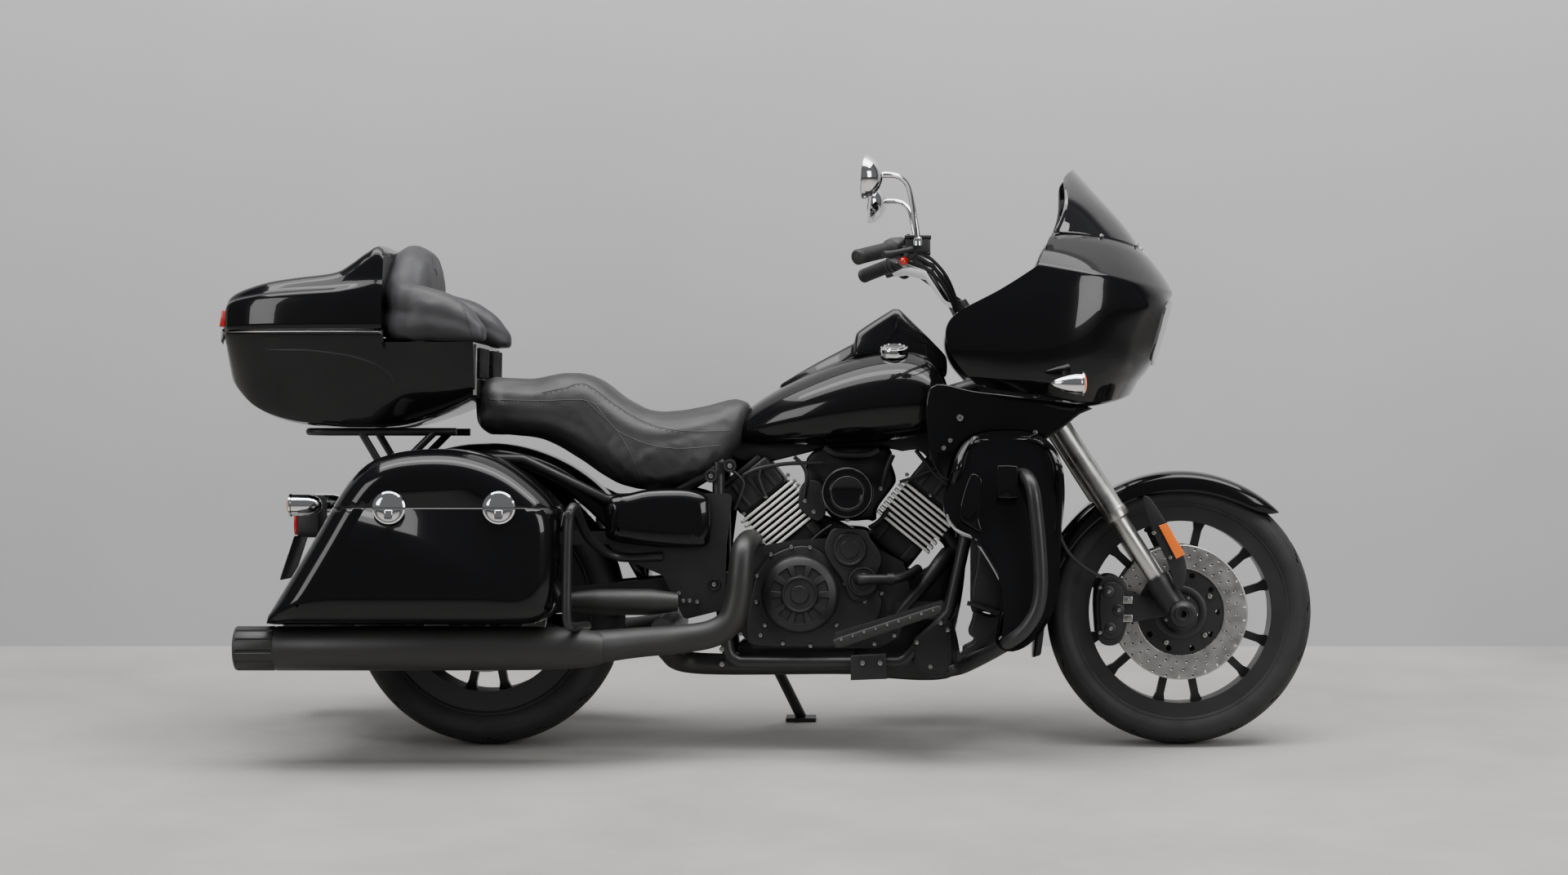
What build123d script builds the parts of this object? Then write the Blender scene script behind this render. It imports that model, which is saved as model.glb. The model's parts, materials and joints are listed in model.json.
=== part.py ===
from build123d import *
import os
from math import cos, radians, sin, tan

# Touring motorcycle with a V-twin engine, two wheels in line, saddlebags, top case and frame-mounted fairing.
# It is drawn upright: X forward from the rear axle, Y to the rider's left, Z up from the road.
# At the end the whole machine leans left onto its side stand and its box is centred on the origin.

# Whole machine
wheelbase = 1665.0
lean_angle = 6.5
rake_angle = 32.7
seat_gap = 0.3
running_gap = 0.3
moving_gap = 5.0
lid_gap = 0.6
cut_overrun = 40.0

# Front wheel
front_tyre_radius = 319.3
front_tyre_width = 130.0
front_bead_radius = 241.0
front_opening_radius = 219.0
front_rim_width = 106.0
front_hub_radius = 36.0
front_disc_radius = 162.0
front_disc_inner_radius = 98.0
front_carrier_radius = 106.0
front_carrier_face = 62.0
front_core_end = 74.0

# Rear wheel
rear_tyre_radius = 327.6
rear_tyre_width = 180.0
rear_bead_radius = 228.6
rear_opening_radius = 198.0
rear_rim_width = 150.0
rear_hub_radius = 42.0
rear_disc_radius = 150.0
rear_disc_inner_radius = 92.0
rear_carrier_radius = 100.0
rear_carrier_face = 96.0
rear_core_end = 106.0
pulley_radius = 104.0
pulley_width = 30.0

# Both wheels
flange_height = 16.0
flange_thickness = 7.0
crown_drop_share = 0.33
disc_thickness = 5.0
carrier_thickness = 5.0
core_radius = 26.0
spoke_pairs = 6
spoke_split_angle = 12.0
spoke_phase_angle = 29.0
spoke_thickness = 26.0
spoke_root_half = 13.0
spoke_waist_half = 9.5
spoke_tip_half = 17.0
carrier_slots = 10
carrier_slot_radius = 7.0
carrier_slot_circle_share = 0.86
axle_radius = 13.0
axle_bore_radius = 8.0
rear_axle_radius = 13.0

# Fork, in its own frame: forward of the steering axis, along Y, up the axis from the axle's level
axle_offset = 46.0
leg_offset = 40.0
leg_spacing = 115.0
lower_radius = 30.0
lower_bottom = -26.0
lower_top = 100.0
inner_tube_radius = 20.5
outer_tube_radius = 27.5
outer_tube_start = 279.0
outer_tube_end = 862.0
lower_clamp_height = 590.0
upper_clamp_height = 828.0
clamp_thickness = 30.0
clamp_rim = 11.0
stem_radius = 15.0
head_radius = 36.0
head_end_gap = 6.0
axle_overhang = 14.0
caliper_inner_radius = 118.0
caliper_outer_radius = 190.0
caliper_half_height = 66.0
caliper_inner_face = 44.0
caliper_outer_face = 94.0
caliper_angle = 177.0
bracket_thickness = 7.0

# Front fender
fender_radius = 341.0
fender_wall = 6.0
fender_half_width = 84.0
fender_skirt_radius = 292.0
fender_front_angle = 50.0
fender_back_angle = 160.0
fender_lip_angle = 20.0
fender_tail_drop = 228.0
fender_tail_back = 66.0
fender_tail_toe = 106.0
fender_tail_rise = 43.0
fender_stay_half = 14.0

# Handlebar and what it carries
bar_radius = 14.0
bar_clamp_height = 913.0
bar_clamp_half = 46.0
bar_half_width = 430.0
bar_pull_back = 230.0
bar_rise = 97.0
bar_bend_radius = 34.0
riser_radius = 20.0
grip_radius = 17.0
grip_flange_radius = 24.0
grip_flange_width = 6.0
control_radius = 23.0
lever_radius = 7.0
lever_reach = 62.0
reservoir_length = 56.0
reservoir_width = 74.0
reservoir_height = 38.0
mirror_radius = 52.0
mirror_depth = 34.0
mirror_out = 424.0
mirror_back = 206.0
mirror_rise = 274.0
mirror_stem_radius = 6.5

# Fairing
fairing_wall = 6.0
fairing_half_width = 372.0
fairing_back_x = 1090.0
fairing_length = 575.0
fairing_base_z = 845.0
fairing_height = 361.0
fairing_round = 70.0
lamp_half_width = 186.0
lamp_low_z = 893.0
lamp_high_z = 1070.0
lamp_depth = 130.0
dash_low_x = 1425.0
dash_low_z = 905.0
dash_high_x = 1335.0
dash_high_z = 1188.0
dash_thickness = 14.0
stay_half = 22.0
stay_height = 26.0

# Windscreen
screen_thickness = 5.0
screen_high_z = 1388.0
screen_back_x = 1368.0
screen_half_width = 250.0
screen_front_reach = 196.0

# Tank and console
tank_back_x = 585.0
tank_length = 525.0
tank_half_width = 195.0
tank_bottom_z = 717.0
tank_height = 240.0
console_back_x = 700.0
console_length = 405.0
console_half_width = 78.0
console_base_z = 800.0
console_height = 247.0
cap_x = 978.0
cap_y = -110.0
cap_radius = 34.0
cap_height = 30.0

# Frame
backbone_radius = 24.0
backbone_back_x = 560.0
backbone_back_z = 680.0
backbone_front_x = 1180.0
backbone_front_z = 862.0
tunnel_gap = 8.0
frame_tube_radius = 15.0
frame_tube_spread = 135.0
rail_spread = 125.0
rail_z = 203.0
subframe_radius = 12.0
plate_inner_y = 148.0
plate_thickness = 10.0
plate_back_x = 293.0
plate_length = 302.0
plate_low_z = 306.0
plate_height = 300.0
pivot_x = 560.0
pivot_z = 390.0
pivot_radius = 16.0
hanger_height = 42.0
hanger_thickness = 10.0

# Swingarm
arm_inner_y = 112.0
arm_thickness = 28.0
arm_half_height = 30.0

# Engine
crank_x = 867.0
crank_z = 349.0
vee_half_angle = 39.0
cylinder_reach = 262.0
cylinder_length = 108.0
cylinder_half_width = 80.0
cylinder_half_depth = 96.0
cylinder_core_share = 0.84
fin_count = 8
fin_thickness = 5.0
head_length = 72.0
head_half_width = 62.0
head_half_depth = 88.0
case_back_x = 602.0
case_length = 420.0
case_low_z = 236.0
case_height = 262.0
case_half_width = 126.0
clutch_x = 755.0
clutch_z = 366.0
clutch_radius = 89.0
clutch_depth = 60.0
cleaner_x = 868.0
cleaner_z = 606.0
cleaner_radius = 62.0
cleaner_face_y = 205.0
cleaner_depth = 96.0
pump_x = 903.0
pump_z = 399.0
pump_radius = 33.0
pump_depth = 52.0
port_x = 872.0
port_z = 474.0
port_depth = 40.0
cover_round = 8.0
clutch_windows = 8
clutch_window_radius = 14.0
clutch_window_depth = 5.0
cleaner_rings = 3
ring_groove = 3.0
head_grooves = 3
head_groove_depth = 6.0

# Radiator
radiator_x = 1186.0
radiator_thickness = 46.0
radiator_low_z = 325.0
radiator_high_z = 606.0
radiator_half_width = 165.0
radiator_fins = 14
radiator_fin_depth = 6.0
radiator_frame = 18.0

# Exhaust
header_radius = 26.0
header_y = 232.0
header_z = 288.0
link_radius = 33.0
muffler_y = 318.0
muffler_z = 247.0
muffler_radius = 52.0
muffler_back_x = -554.0
muffler_front_x = 150.0
muffler_bore_share = 0.62
muffler_bore_depth = 90.0
muffler_cone_x = 290.0
upper_pipe_radius = 30.0
upper_pipe_z = 350.0
upper_pipe_back_x = 215.0
upper_pipe_front_x = 462.0
upper_pipe_y = 212.0

# Seat and side covers
seat_back_x = -38.0
seat_length = 665.0
seat_half_width = 190.0
seat_base_z = 627.0
seat_height = 262.0
cover_inner_y = 166.0
cover_thickness = 14.0
cover_back_x = 293.0
cover_length = 255.0
cover_low_z = 476.0
cover_height = 144.0
cover_corner = 26.0

# Rear fender
rear_fender_radius = 400.0
rear_fender_wall = 7.0
rear_fender_half_width = 106.0
rear_fender_skirt_radius = 336.0
rear_fender_front_angle = 12.0
rear_fender_back_angle = 150.0
rear_tail_x = -430.0
rear_tail_z = 500.0

# Saddlebags
bag_inner_y = 178.0
bag_width = 249.0
bag_back_x = -474.0
bag_length = 707.0
bag_low_z = 303.0
bag_height = 410.0
bag_seam_z = 576.0
bag_wall = 7.0
bag_post_front_x = 186.0
bag_post_front_z = 500.0
bag_post_back_x = -325.0
bag_post_back_z = 510.0
bag_round = 18.0
bag_hinge_out = 9.0
latch_radius = 37.5
latch_depth = 8.0
latch_back_x = -180.0
latch_front_x = 73.0

# Top case and backrest
case_rear_x = -616.0
top_case_length = 612.0
top_case_half_width = 282.0
top_case_base_z = 762.0
top_case_seam_z = 990.0
top_case_height = 374.0
top_case_wall = 7.0
pad_back_x = -222.0
pad_reach = 272.0
pad_low_z = 970.0
pad_high_z = 1198.0
pad_half_width = 280.0
pad_middle_share = 0.34
wing_middle_share = 0.84
wing_half_share = 0.16
hinge_x = 48.0
hinge_z = 966.0
hinge_radius = 6.0

# Rack, tail and plate
rack_radius = 9.0
rack_spread = 128.0
tail_lamp_half_width = 62.0
number_plate_half_width = 90.0
number_plate_height = 105.0
number_plate_thickness = 4.0
number_plate_slope_angle = 18.0
signal_radius = 26.0
signal_length = 76.0
rear_signal_y = 168.0

# Front signals, lower fairings, guards and boards
front_signal_y = 402.0
pod_inner_y = 250.0
pod_width = 130.0
pod_back_x = 1119.0
pod_length = 231.0
pod_low_z = 252.0
pod_height = 484.0
guard_radius = 16.0
guard_y = 268.0
rear_guard_radius = 11.0
rear_guard_y = 392.0
board_inner_y = 215.0
board_width = 100.0
board_thickness = 18.0
board_back_x = 842.0
board_back_z = 262.0
board_front_x = 1092.0
board_front_z = 338.0

# Side stand
stand_pivot_x = 676.0
stand_pivot_y = 182.0
stand_pivot_z = 190.0
stand_foot_x = 742.0
stand_foot_y = 288.0
stand_leg_radius = 13.0
stand_foot_length = 74.0
stand_foot_width = 52.0
stand_foot_thickness = 10.0
stand_eye_radius = 20.0
stand_eye_half = 14.0
stand_side_gap = 1.0
stand_lug_radius = 15.0
stand_lug_thickness = 8.0

# Held hoses
hose_radius = 4.5

# Shared helpers


def span_box(x_low, x_high, y_low, y_high, z_low, z_high):
    centre = Pos((x_low + x_high) / 2, (y_low + y_high) / 2, (z_low + z_high) / 2)
    return centre * Box(x_high - x_low, y_high - y_low, z_high - z_low)


def rod(start, end, radius):
    run = Vector(*end) - Vector(*start)
    base = Plane(origin=start, z_dir=run)
    return base * Cylinder(radius, run.length, align=(Align.CENTER, Align.CENTER, Align.MIN))


def across(x, z, radius, y_low, y_high):
    return rod((x, y_low, z), (x, y_high, z), radius)


def tube(points, radius, bend_radius):
    path = FilletPolyline(*points, radius=bend_radius)
    section = Plane(origin=path @ 0, z_dir=path % 0) * Circle(radius)
    return sweep(section, path=path)


def slab(outline, y_low, y_high, corner=0.0):
    points = [(x, y_low, z) for x, z in outline]
    if corner > 0:
        edge = FilletPolyline(*points, radius=corner, close=True)
    else:
        edge = Polyline(*points, close=True)
    return extrude(make_face(edge), amount=y_high - y_low, dir=(0, 1, 0))


def spread_points(shares, x_start, length, z_start, height):
    return [(x_start + length * along, z_start + height * up) for along, up in shares]


def ring_piece(radius_high, radius_low, y_low, y_high):
    outer = across(0, 0, radius_high, y_low, y_high)
    inner = across(0, 0, radius_low, y_low - cut_overrun, y_high + cut_overrun)
    return outer - inner


def cross_section(x, y_middle, low_half, high_half, z_low, z_high, round_share):
    corners = [
        (x, y_middle - low_half, z_low),
        (x, y_middle + low_half, z_low),
        (x, y_middle + high_half, z_high),
        (x, y_middle - high_half, z_high),
    ]
    radius = round_share * min(low_half, high_half, (z_high - z_low) / 2)
    return make_face(FilletPolyline(*corners, radius=radius, close=True))


def lofted(sections, ruled=False):
    return loft(sections, ruled=ruled)


def mirrored(piece):
    return mirror(piece, about=Plane.XZ)


def pair(piece):
    return [piece, mirrored(piece)]


def turned(piece, angle, x, z):
    return Pos(x, 0, z) * Rot(0, -angle, 0) * piece


def wedge(reach, first_angle, last_angle, y_low, y_high):
    # A fan of straight edges wide enough to hold an arc of the given reach
    steps = 6
    edge_reach = reach / cos(radians((last_angle - first_angle) / steps / 2))
    points = [(0, 0)]
    for step in range(steps + 1):
        angle = radians(first_angle + (last_angle - first_angle) * step / steps)
        points.append((edge_reach * cos(angle), edge_reach * sin(angle)))
    return slab(points, y_low, y_high)


# Steering frame: its origin is beside the axle on the steering axis, X forward, Z up the axis
rake = radians(rake_angle)
axis_up = Vector(-sin(rake), 0, cos(rake))
axis_forward = Vector(cos(rake), 0, sin(rake))
front_axle = Vector(wheelbase, 0, front_tyre_radius)
rear_axle = Vector(0, 0, rear_tyre_radius)
axis_foot = front_axle - axis_forward * axle_offset
fork_frame = Plane(origin=axis_foot, x_dir=axis_forward, z_dir=axis_up)


def fork_point(forward, side, height):
    spot = axis_foot + axis_forward * forward + axis_up * height
    return (spot.X, side, spot.Z)


# Wheels


def make_tyre(radius, width, bead_radius, rim_width):
    bead_half = rim_width / 2 - flange_thickness - seat_gap
    shoulder = radius - crown_drop_share * width
    flange_top = bead_radius + flange_height + seat_gap
    bead = bead_radius + seat_gap
    crown = ThreePointArc((shoulder, -width / 2), (radius, 0), (shoulder, width / 2))
    sides = Polyline(
        (shoulder, width / 2),
        (flange_top, bead_half),
        (bead, bead_half),
        (bead, -bead_half),
        (flange_top, -bead_half),
        (shoulder, -width / 2),
    )
    return revolve(make_face([*crown.edges(), *sides.edges()]), axis=Axis.Y)


def make_rim(bead_radius, opening_radius, rim_width):
    half = rim_width / 2
    flange_top = bead_radius + flange_height
    barrel = Polyline(
        (opening_radius, -half),
        (flange_top, -half),
        (flange_top, -half + flange_thickness),
        (bead_radius, -half + flange_thickness),
        (bead_radius, half - flange_thickness),
        (flange_top, half - flange_thickness),
        (flange_top, half),
        (opening_radius, half),
        close=True,
    )
    return revolve(make_face(barrel), axis=Axis.Y)


def make_spokes(hub_radius, opening_radius):
    inner = hub_radius / 2
    middle = (hub_radius + opening_radius) / 2
    knee = opening_radius - spoke_tip_half
    outer = opening_radius + flange_height / 2
    outline = [
        (inner, -spoke_root_half),
        (middle, -spoke_waist_half),
        (knee, -spoke_waist_half),
        (outer, -spoke_tip_half),
        (outer, spoke_tip_half),
        (knee, spoke_waist_half),
        (middle, spoke_waist_half),
        (inner, spoke_root_half),
    ]
    spoke = slab(outline, -spoke_thickness / 2, spoke_thickness / 2)
    spokes = []
    for number in range(spoke_pairs):
        centre_angle = spoke_phase_angle + 360 / spoke_pairs * number
        for side in (-1, 1):
            spokes.append(turned(spoke, centre_angle + side * spoke_split_angle, 0, 0))
    return spokes


def make_carrier(radius, face, hub_radius):
    plate = across(0, 0, radius, face - carrier_thickness, face)
    circle = radius * carrier_slot_circle_share
    for number in range(carrier_slots):
        angle = radians(360 / carrier_slots * number)
        hole_x = circle * cos(angle)
        hole_z = circle * sin(angle)
        plate -= across(hole_x, hole_z, carrier_slot_radius, face - cut_overrun, face + cut_overrun)
    return plate


def make_wheel(hub_radius, bead_radius, opening_radius, rim_width, face, core_end, carrier_radius):
    wheel = make_rim(bead_radius, opening_radius, rim_width)
    wheel += make_spokes(hub_radius, opening_radius)
    wheel += across(0, 0, hub_radius, -face, face)
    wheel += across(0, 0, core_radius, -core_end, core_end)
    carrier = make_carrier(carrier_radius, face, hub_radius)
    wheel += [carrier, mirrored(carrier)]
    return wheel


front_spin = Pos(front_axle)
rear_spin = Pos(rear_axle)

front_tyre = front_spin * make_tyre(front_tyre_radius, front_tyre_width, front_bead_radius, front_rim_width)
front_rim = make_wheel(
    front_hub_radius, front_bead_radius, front_opening_radius, front_rim_width,
    front_carrier_face, front_core_end, front_carrier_radius,
)
front_rim_end = front_core_end + cut_overrun
front_rim -= across(0, 0, axle_radius + running_gap, -front_rim_end, front_rim_end)
front_rim = front_spin * front_rim
front_disc = ring_piece(
    front_disc_radius, front_disc_inner_radius,
    front_carrier_face, front_carrier_face + disc_thickness,
)
front_discs = [front_spin * disc for disc in pair(front_disc)]

rear_tyre = rear_spin * make_tyre(rear_tyre_radius, rear_tyre_width, rear_bead_radius, rear_rim_width)
rear_rim = make_wheel(
    rear_hub_radius, rear_bead_radius, rear_opening_radius, rear_rim_width,
    rear_carrier_face, rear_core_end, rear_carrier_radius,
)
rear_rim += across(0, 0, pulley_radius, rear_carrier_face - pulley_width, rear_carrier_face)
rear_rim_end = rear_core_end + cut_overrun
rear_rim -= across(0, 0, rear_axle_radius + running_gap, -rear_rim_end, rear_rim_end)
rear_rim = rear_spin * rear_rim
rear_disc = rear_spin * ring_piece(
    rear_disc_radius, rear_disc_inner_radius,
    -rear_carrier_face - disc_thickness, -rear_carrier_face,
)

# Fork


def leg_rod(side, low, high, radius):
    return fork_frame * Pos(leg_offset, side * leg_spacing, low) * Cylinder(
        radius, high - low, align=(Align.CENTER, Align.CENTER, Align.MIN)
    )


def axis_rod(low, high, radius):
    return fork_frame * Pos(0, 0, low) * Cylinder(
        radius, high - low, align=(Align.CENTER, Align.CENTER, Align.MIN)
    )


def make_clamp(height):
    reach = leg_spacing
    edge = FilletPolyline(
        (-head_radius, -head_radius),
        (leg_offset - outer_tube_radius, -reach - outer_tube_radius - clamp_rim),
        (leg_offset + outer_tube_radius + clamp_rim, -reach - outer_tube_radius - clamp_rim),
        (leg_offset + outer_tube_radius + clamp_rim, reach + outer_tube_radius + clamp_rim),
        (leg_offset - outer_tube_radius, reach + outer_tube_radius + clamp_rim),
        (-head_radius, head_radius),
        radius=clamp_rim,
        close=True,
    )
    return fork_frame * Pos(0, 0, height) * extrude(make_face(edge), amount=clamp_thickness)


axle_end = leg_spacing + lower_radius + axle_overhang
front_axle_rod = front_spin * across(0, 0, axle_radius, -axle_end, axle_end)

lower_legs = [leg_rod(side, lower_bottom, lower_top, lower_radius) for side in (-1, 1)]
axle_bore = front_spin * across(0, 0, axle_bore_radius, -axle_end - cut_overrun, axle_end + cut_overrun)
fork_lowers = lower_legs[0] + lower_legs[1] + front_axle_rod - axle_bore
inner_tubes = [leg_rod(side, lower_top, outer_tube_start, inner_tube_radius) for side in (-1, 1)]
outer_tubes = [leg_rod(side, outer_tube_start, outer_tube_end, outer_tube_radius) for side in (-1, 1)]

clamp_low = make_clamp(lower_clamp_height)
clamp_high = make_clamp(upper_clamp_height)
fork_clamps = clamp_low + clamp_high
fork_clamps += axis_rod(lower_clamp_height, upper_clamp_height + clamp_thickness, stem_radius)
for outer_tube in outer_tubes:
    fork_clamps -= outer_tube
for side in (-1, 1):
    riser_foot = Pos(0, side * bar_clamp_half, upper_clamp_height + clamp_thickness)
    fork_clamps += fork_frame * riser_foot * Cylinder(
        riser_radius, bar_clamp_height - upper_clamp_height - clamp_thickness,
        align=(Align.CENTER, Align.CENTER, Align.MIN),
    )

# Calipers and their brackets


def make_caliper():
    body = span_box(
        caliper_inner_radius, caliper_outer_radius, caliper_inner_face, caliper_outer_face,
        -caliper_half_height, caliper_half_height,
    )
    slot_low = front_carrier_face - moving_gap
    slot_high = front_carrier_face + disc_thickness + moving_gap
    slot = ring_piece(front_disc_radius + moving_gap, moving_gap, slot_low, slot_high)
    arm = span_box(
        leg_offset - lower_radius, caliper_outer_radius, caliper_outer_face - bracket_thickness,
        caliper_outer_face, -caliper_half_height / 3, caliper_half_height / 3,
    )
    return turned(body - slot + arm, caliper_angle, front_axle.X, front_axle.Z)


caliper = make_caliper()
caliper -= fork_lowers
calipers = [caliper, mirrored(caliper)]

# Front fender


def fender_shell(radius, half_width, inset):
    arch = wedge(radius + cut_overrun, fender_front_angle, fender_back_angle, -half_width, half_width)
    arch &= across(0, 0, radius, -half_width, half_width)
    back_angle = radians(fender_back_angle)
    joint_x = radius * cos(back_angle)
    joint_z = radius * sin(back_angle)
    tip_x = joint_x - fender_tail_back
    tip_z = joint_z - fender_tail_drop - inset
    tail = slab(
        [
            (joint_x, joint_z),
            (tip_x, tip_z),
            (tip_x + fender_tail_toe, tip_z + fender_tail_rise),
            (0, tip_z + fender_tail_rise),
            (0, joint_z),
        ],
        -half_width, half_width,
    )
    return arch + tail


fender_skin = fender_shell(fender_radius, fender_half_width, 0)
fender_hollow = fender_shell(fender_radius - fender_wall, fender_half_width - fender_wall, cut_overrun)
fender_hollow += wedge(
    fender_radius - fender_wall, fender_front_angle - fender_lip_angle, fender_back_angle,
    -fender_half_width + fender_wall, fender_half_width - fender_wall,
)
front_fender = fender_skin - fender_hollow
skirt_end = fender_half_width + cut_overrun
front_fender -= across(0, 0, fender_skirt_radius, -skirt_end, skirt_end)
front_fender = front_spin * front_fender
stay_low = fork_point(leg_offset, 0, lower_top * 0.7)
stay_high = fork_point(leg_offset, 0, fender_skirt_radius + fender_stay_half * 3)
for side in (-1, 1):
    stay_y = side * fender_half_width
    stay = slab(
        [
            (stay_low[0] - fender_stay_half, stay_low[2] - fender_stay_half),
            (stay_low[0] + fender_stay_half, stay_low[2]),
            (stay_high[0] + fender_stay_half, stay_high[2]),
            (stay_high[0] - fender_stay_half, stay_high[2] - fender_stay_half),
        ],
        min(stay_y, stay_y + side * fender_wall), max(stay_y, stay_y + side * fender_wall),
    )
    front_fender += stay - fork_lowers - outer_tubes[0] - outer_tubes[1]

# Brake hose, held from the lower clamp to the caliper: forward, side and height in the steering frame
hose_route = [
    (18.0, -145.0, 593.0), (0.0, -150.0, 546.0), (-14.0, -153.0, 500.0), (-25.0, -154.0, 454.0),
    (-46.0, -153.0, 410.0), (-76.0, -150.0, 368.0), (-99.0, -145.0, 322.0), (-106.0, -135.0, 274.0),
    (-97.0, -117.0, 230.0), (-78.0, -97.0, 191.0), (-58.0, -80.0, 153.0),
]
hose_points = [fork_point(*spot) for spot in hose_route]


def arc_radii(points):
    radii = []
    for before, here, after in zip(points, points[1:], points[2:]):
        run_in = Vector(*here) - Vector(*before)
        run_out = Vector(*after) - Vector(*here)
        half_turn = radians(run_in.get_angle(run_out) / 2)
        radii.append(0.45 * min(run_in.length, run_out.length) / tan(half_turn))
    return radii


hose_radii = arc_radii(hose_points)
print("brake hose radii", [round(radius, 1) for radius in hose_radii])
hose_path = FilletPolyline(*hose_points, radius=hose_radii)
brake_hose = sweep(Plane(origin=hose_path @ 0, z_dir=hose_path % 0) * Circle(hose_radius), path=hose_path)
brake_hose -= [fork_clamps, *calipers]
brake_hoses = pair(brake_hose.solids().sort_by(SortBy.VOLUME)[-1])

# Handlebar: pull back, half width and rise as shares of the bar's own sizes
bar_shares = [
    (0.0, 0.08, 0.0),
    (0.11, 0.26, 0.14),
    (0.31, 0.465, 0.83),
    (0.555, 0.675, 1.0),
    (0.66, 0.77, 0.98),
]
bar_base = fork_point(0, 0, bar_clamp_height)


def bar_point(pull, out, rise):
    return (bar_base[0] - bar_pull_back * pull, -bar_half_width * out, bar_base[2] + bar_rise * rise)


grip_start = bar_point(*bar_shares[-1])
grip_end = bar_point(1.0, 1.0, 0.97)
half_bar = tube([bar_point(*row) for row in bar_shares], bar_radius, bar_bend_radius)
bar_middle = across(
    bar_base[0], bar_base[2], bar_radius,
    bar_point(*bar_shares[0])[1], -bar_point(*bar_shares[0])[1],
)
handlebar = half_bar + mirrored(half_bar) + bar_middle
fork_clamps -= handlebar

grip_run = Vector(*grip_end) - Vector(*grip_start)
grip_way = grip_run.normalized()


def along_grip(distance):
    spot = Vector(*grip_start) + grip_way * distance
    return (spot.X, spot.Y, spot.Z)


control_length = grip_run.length * 0.2
grip = rod(along_grip(control_length), grip_end, grip_radius)
grip += rod(along_grip(control_length), along_grip(control_length + grip_flange_width), grip_flange_radius)
grips = pair(grip)

control = rod(grip_start, along_grip(control_length), control_radius)
lever_root = Vector(*along_grip(control_length / 2)) + Vector(control_radius, 0, 0)
lever_knee = lever_root + Vector(lever_reach / 2, -lever_reach / 2, 0)
lever_tip = lever_knee + Vector(-lever_reach * 0.9, -lever_reach * 1.6, 0)
lever = tube(
    [(lever_root.X - control_radius / 2, lever_root.Y, lever_root.Z), tuple(lever_knee), tuple(lever_tip)],
    lever_radius, lever_reach / 4,
)
reservoir = Pos(lever_root.X, lever_root.Y + reservoir_width / 2, lever_root.Z + control_radius) * Box(
    reservoir_length, reservoir_width, reservoir_height
)
control = control + lever + reservoir - handlebar
controls = pair(control)

mirror_foot = Vector(*along_grip(control_length / 2)) + Vector(0, 0, control_radius - mirror_stem_radius / 2)
mirror_centre = Vector(bar_base[0] - mirror_back, -mirror_out, bar_base[2] + mirror_rise)
mirror_elbow = Vector(
    mirror_foot.X - mirror_radius / 4, mirror_foot.Y - mirror_radius / 4, mirror_centre.Z - mirror_radius / 4
)
mirror_stem = tube(
    [tuple(mirror_foot), tuple(mirror_elbow), tuple(mirror_centre + Vector(mirror_depth / 4, 0, 0))],
    mirror_stem_radius, mirror_radius / 2,
)
mirror_head = Pos(mirror_centre) * Rot(0, 90, 0) * Cylinder(mirror_radius, mirror_depth / 2)
mirror_head += Pos(mirror_centre + Vector(mirror_depth / 4, 0, 0)) * Rot(0, 90, 0) * Cone(
    mirror_radius, mirror_radius / 2, mirror_depth / 2, align=(Align.CENTER, Align.CENTER, Align.MIN)
)
side_mirror = mirror_stem + mirror_head
for piece in controls:
    side_mirror -= piece
mirrors = pair(side_mirror)

# Fairing: height, back end, nose, nose half width and side half width as shares
fairing_rows = [
    (0.0, 0.17, 0.72, 0.42, 0.90),
    (0.15, 0.05, 0.83, 0.40, 0.97),
    (0.44, 0.0, 0.93, 0.34, 1.0),
    (0.67, 0.26, 1.0, 0.30, 1.0),
    (0.81, 0.39, 0.95, 0.36, 0.98),
    (1.0, 0.44, 0.83, 0.34, 0.86),
]


def horseshoe_path(row, wall):
    up, back, nose, nose_half, side_half = row
    back_x = fairing_back_x + fairing_length * back
    nose_x = fairing_back_x + fairing_length * nose
    height = fairing_base_z + fairing_height * up
    shoulder_x = nose_x - (nose_x - back_x) * 0.42
    half = fairing_half_width
    outer = [
        (back_x, half * side_half * 0.97),
        (shoulder_x, half * side_half),
        (nose_x, half * nose_half),
        (nose_x, -half * nose_half),
        (shoulder_x, -half * side_half),
        (back_x, -half * side_half * 0.97),
    ]
    inset = [(x - wall * (x > back_x), y - wall * (1 if y > 0 else -1), height) for x, y in outer]
    return FilletPolyline(*inset, radius=fairing_round - wall)


def horseshoe(row, wall):
    outer_path = horseshoe_path(row, 0)
    inner_path = horseshoe_path(row, wall)
    ends = [Line(outer_path @ end, inner_path @ end) for end in (0, 1)]
    return make_face([*outer_path.edges(), *inner_path.edges(), *ends[0].edges(), *ends[1].edges()])


fairing = loft([horseshoe(row, fairing_wall) for row in fairing_rows], ruled=True)
fairing -= span_box(
    fairing_back_x + fairing_length / 2, fairing_back_x + fairing_length + cut_overrun,
    -lamp_half_width - seat_gap, lamp_half_width + seat_gap, lamp_low_z - seat_gap, lamp_high_z + seat_gap,
)

# Headlamp: along and up as shares of its own box
lamp_back_x = fairing_back_x + fairing_length - lamp_depth - fairing_round
lamp_shares = [(0.0, 0.0), (0.35, 0.0), (0.62, 0.25), (0.72, 0.5), (0.80, 0.72), (0.95, 1.0), (0.0, 1.0)]
lamp_outline = spread_points(
    lamp_shares, lamp_back_x, lamp_depth + fairing_round / 2, lamp_low_z, lamp_high_z - lamp_low_z
)
headlamp = slab(lamp_outline, -lamp_half_width, lamp_half_width)

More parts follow.
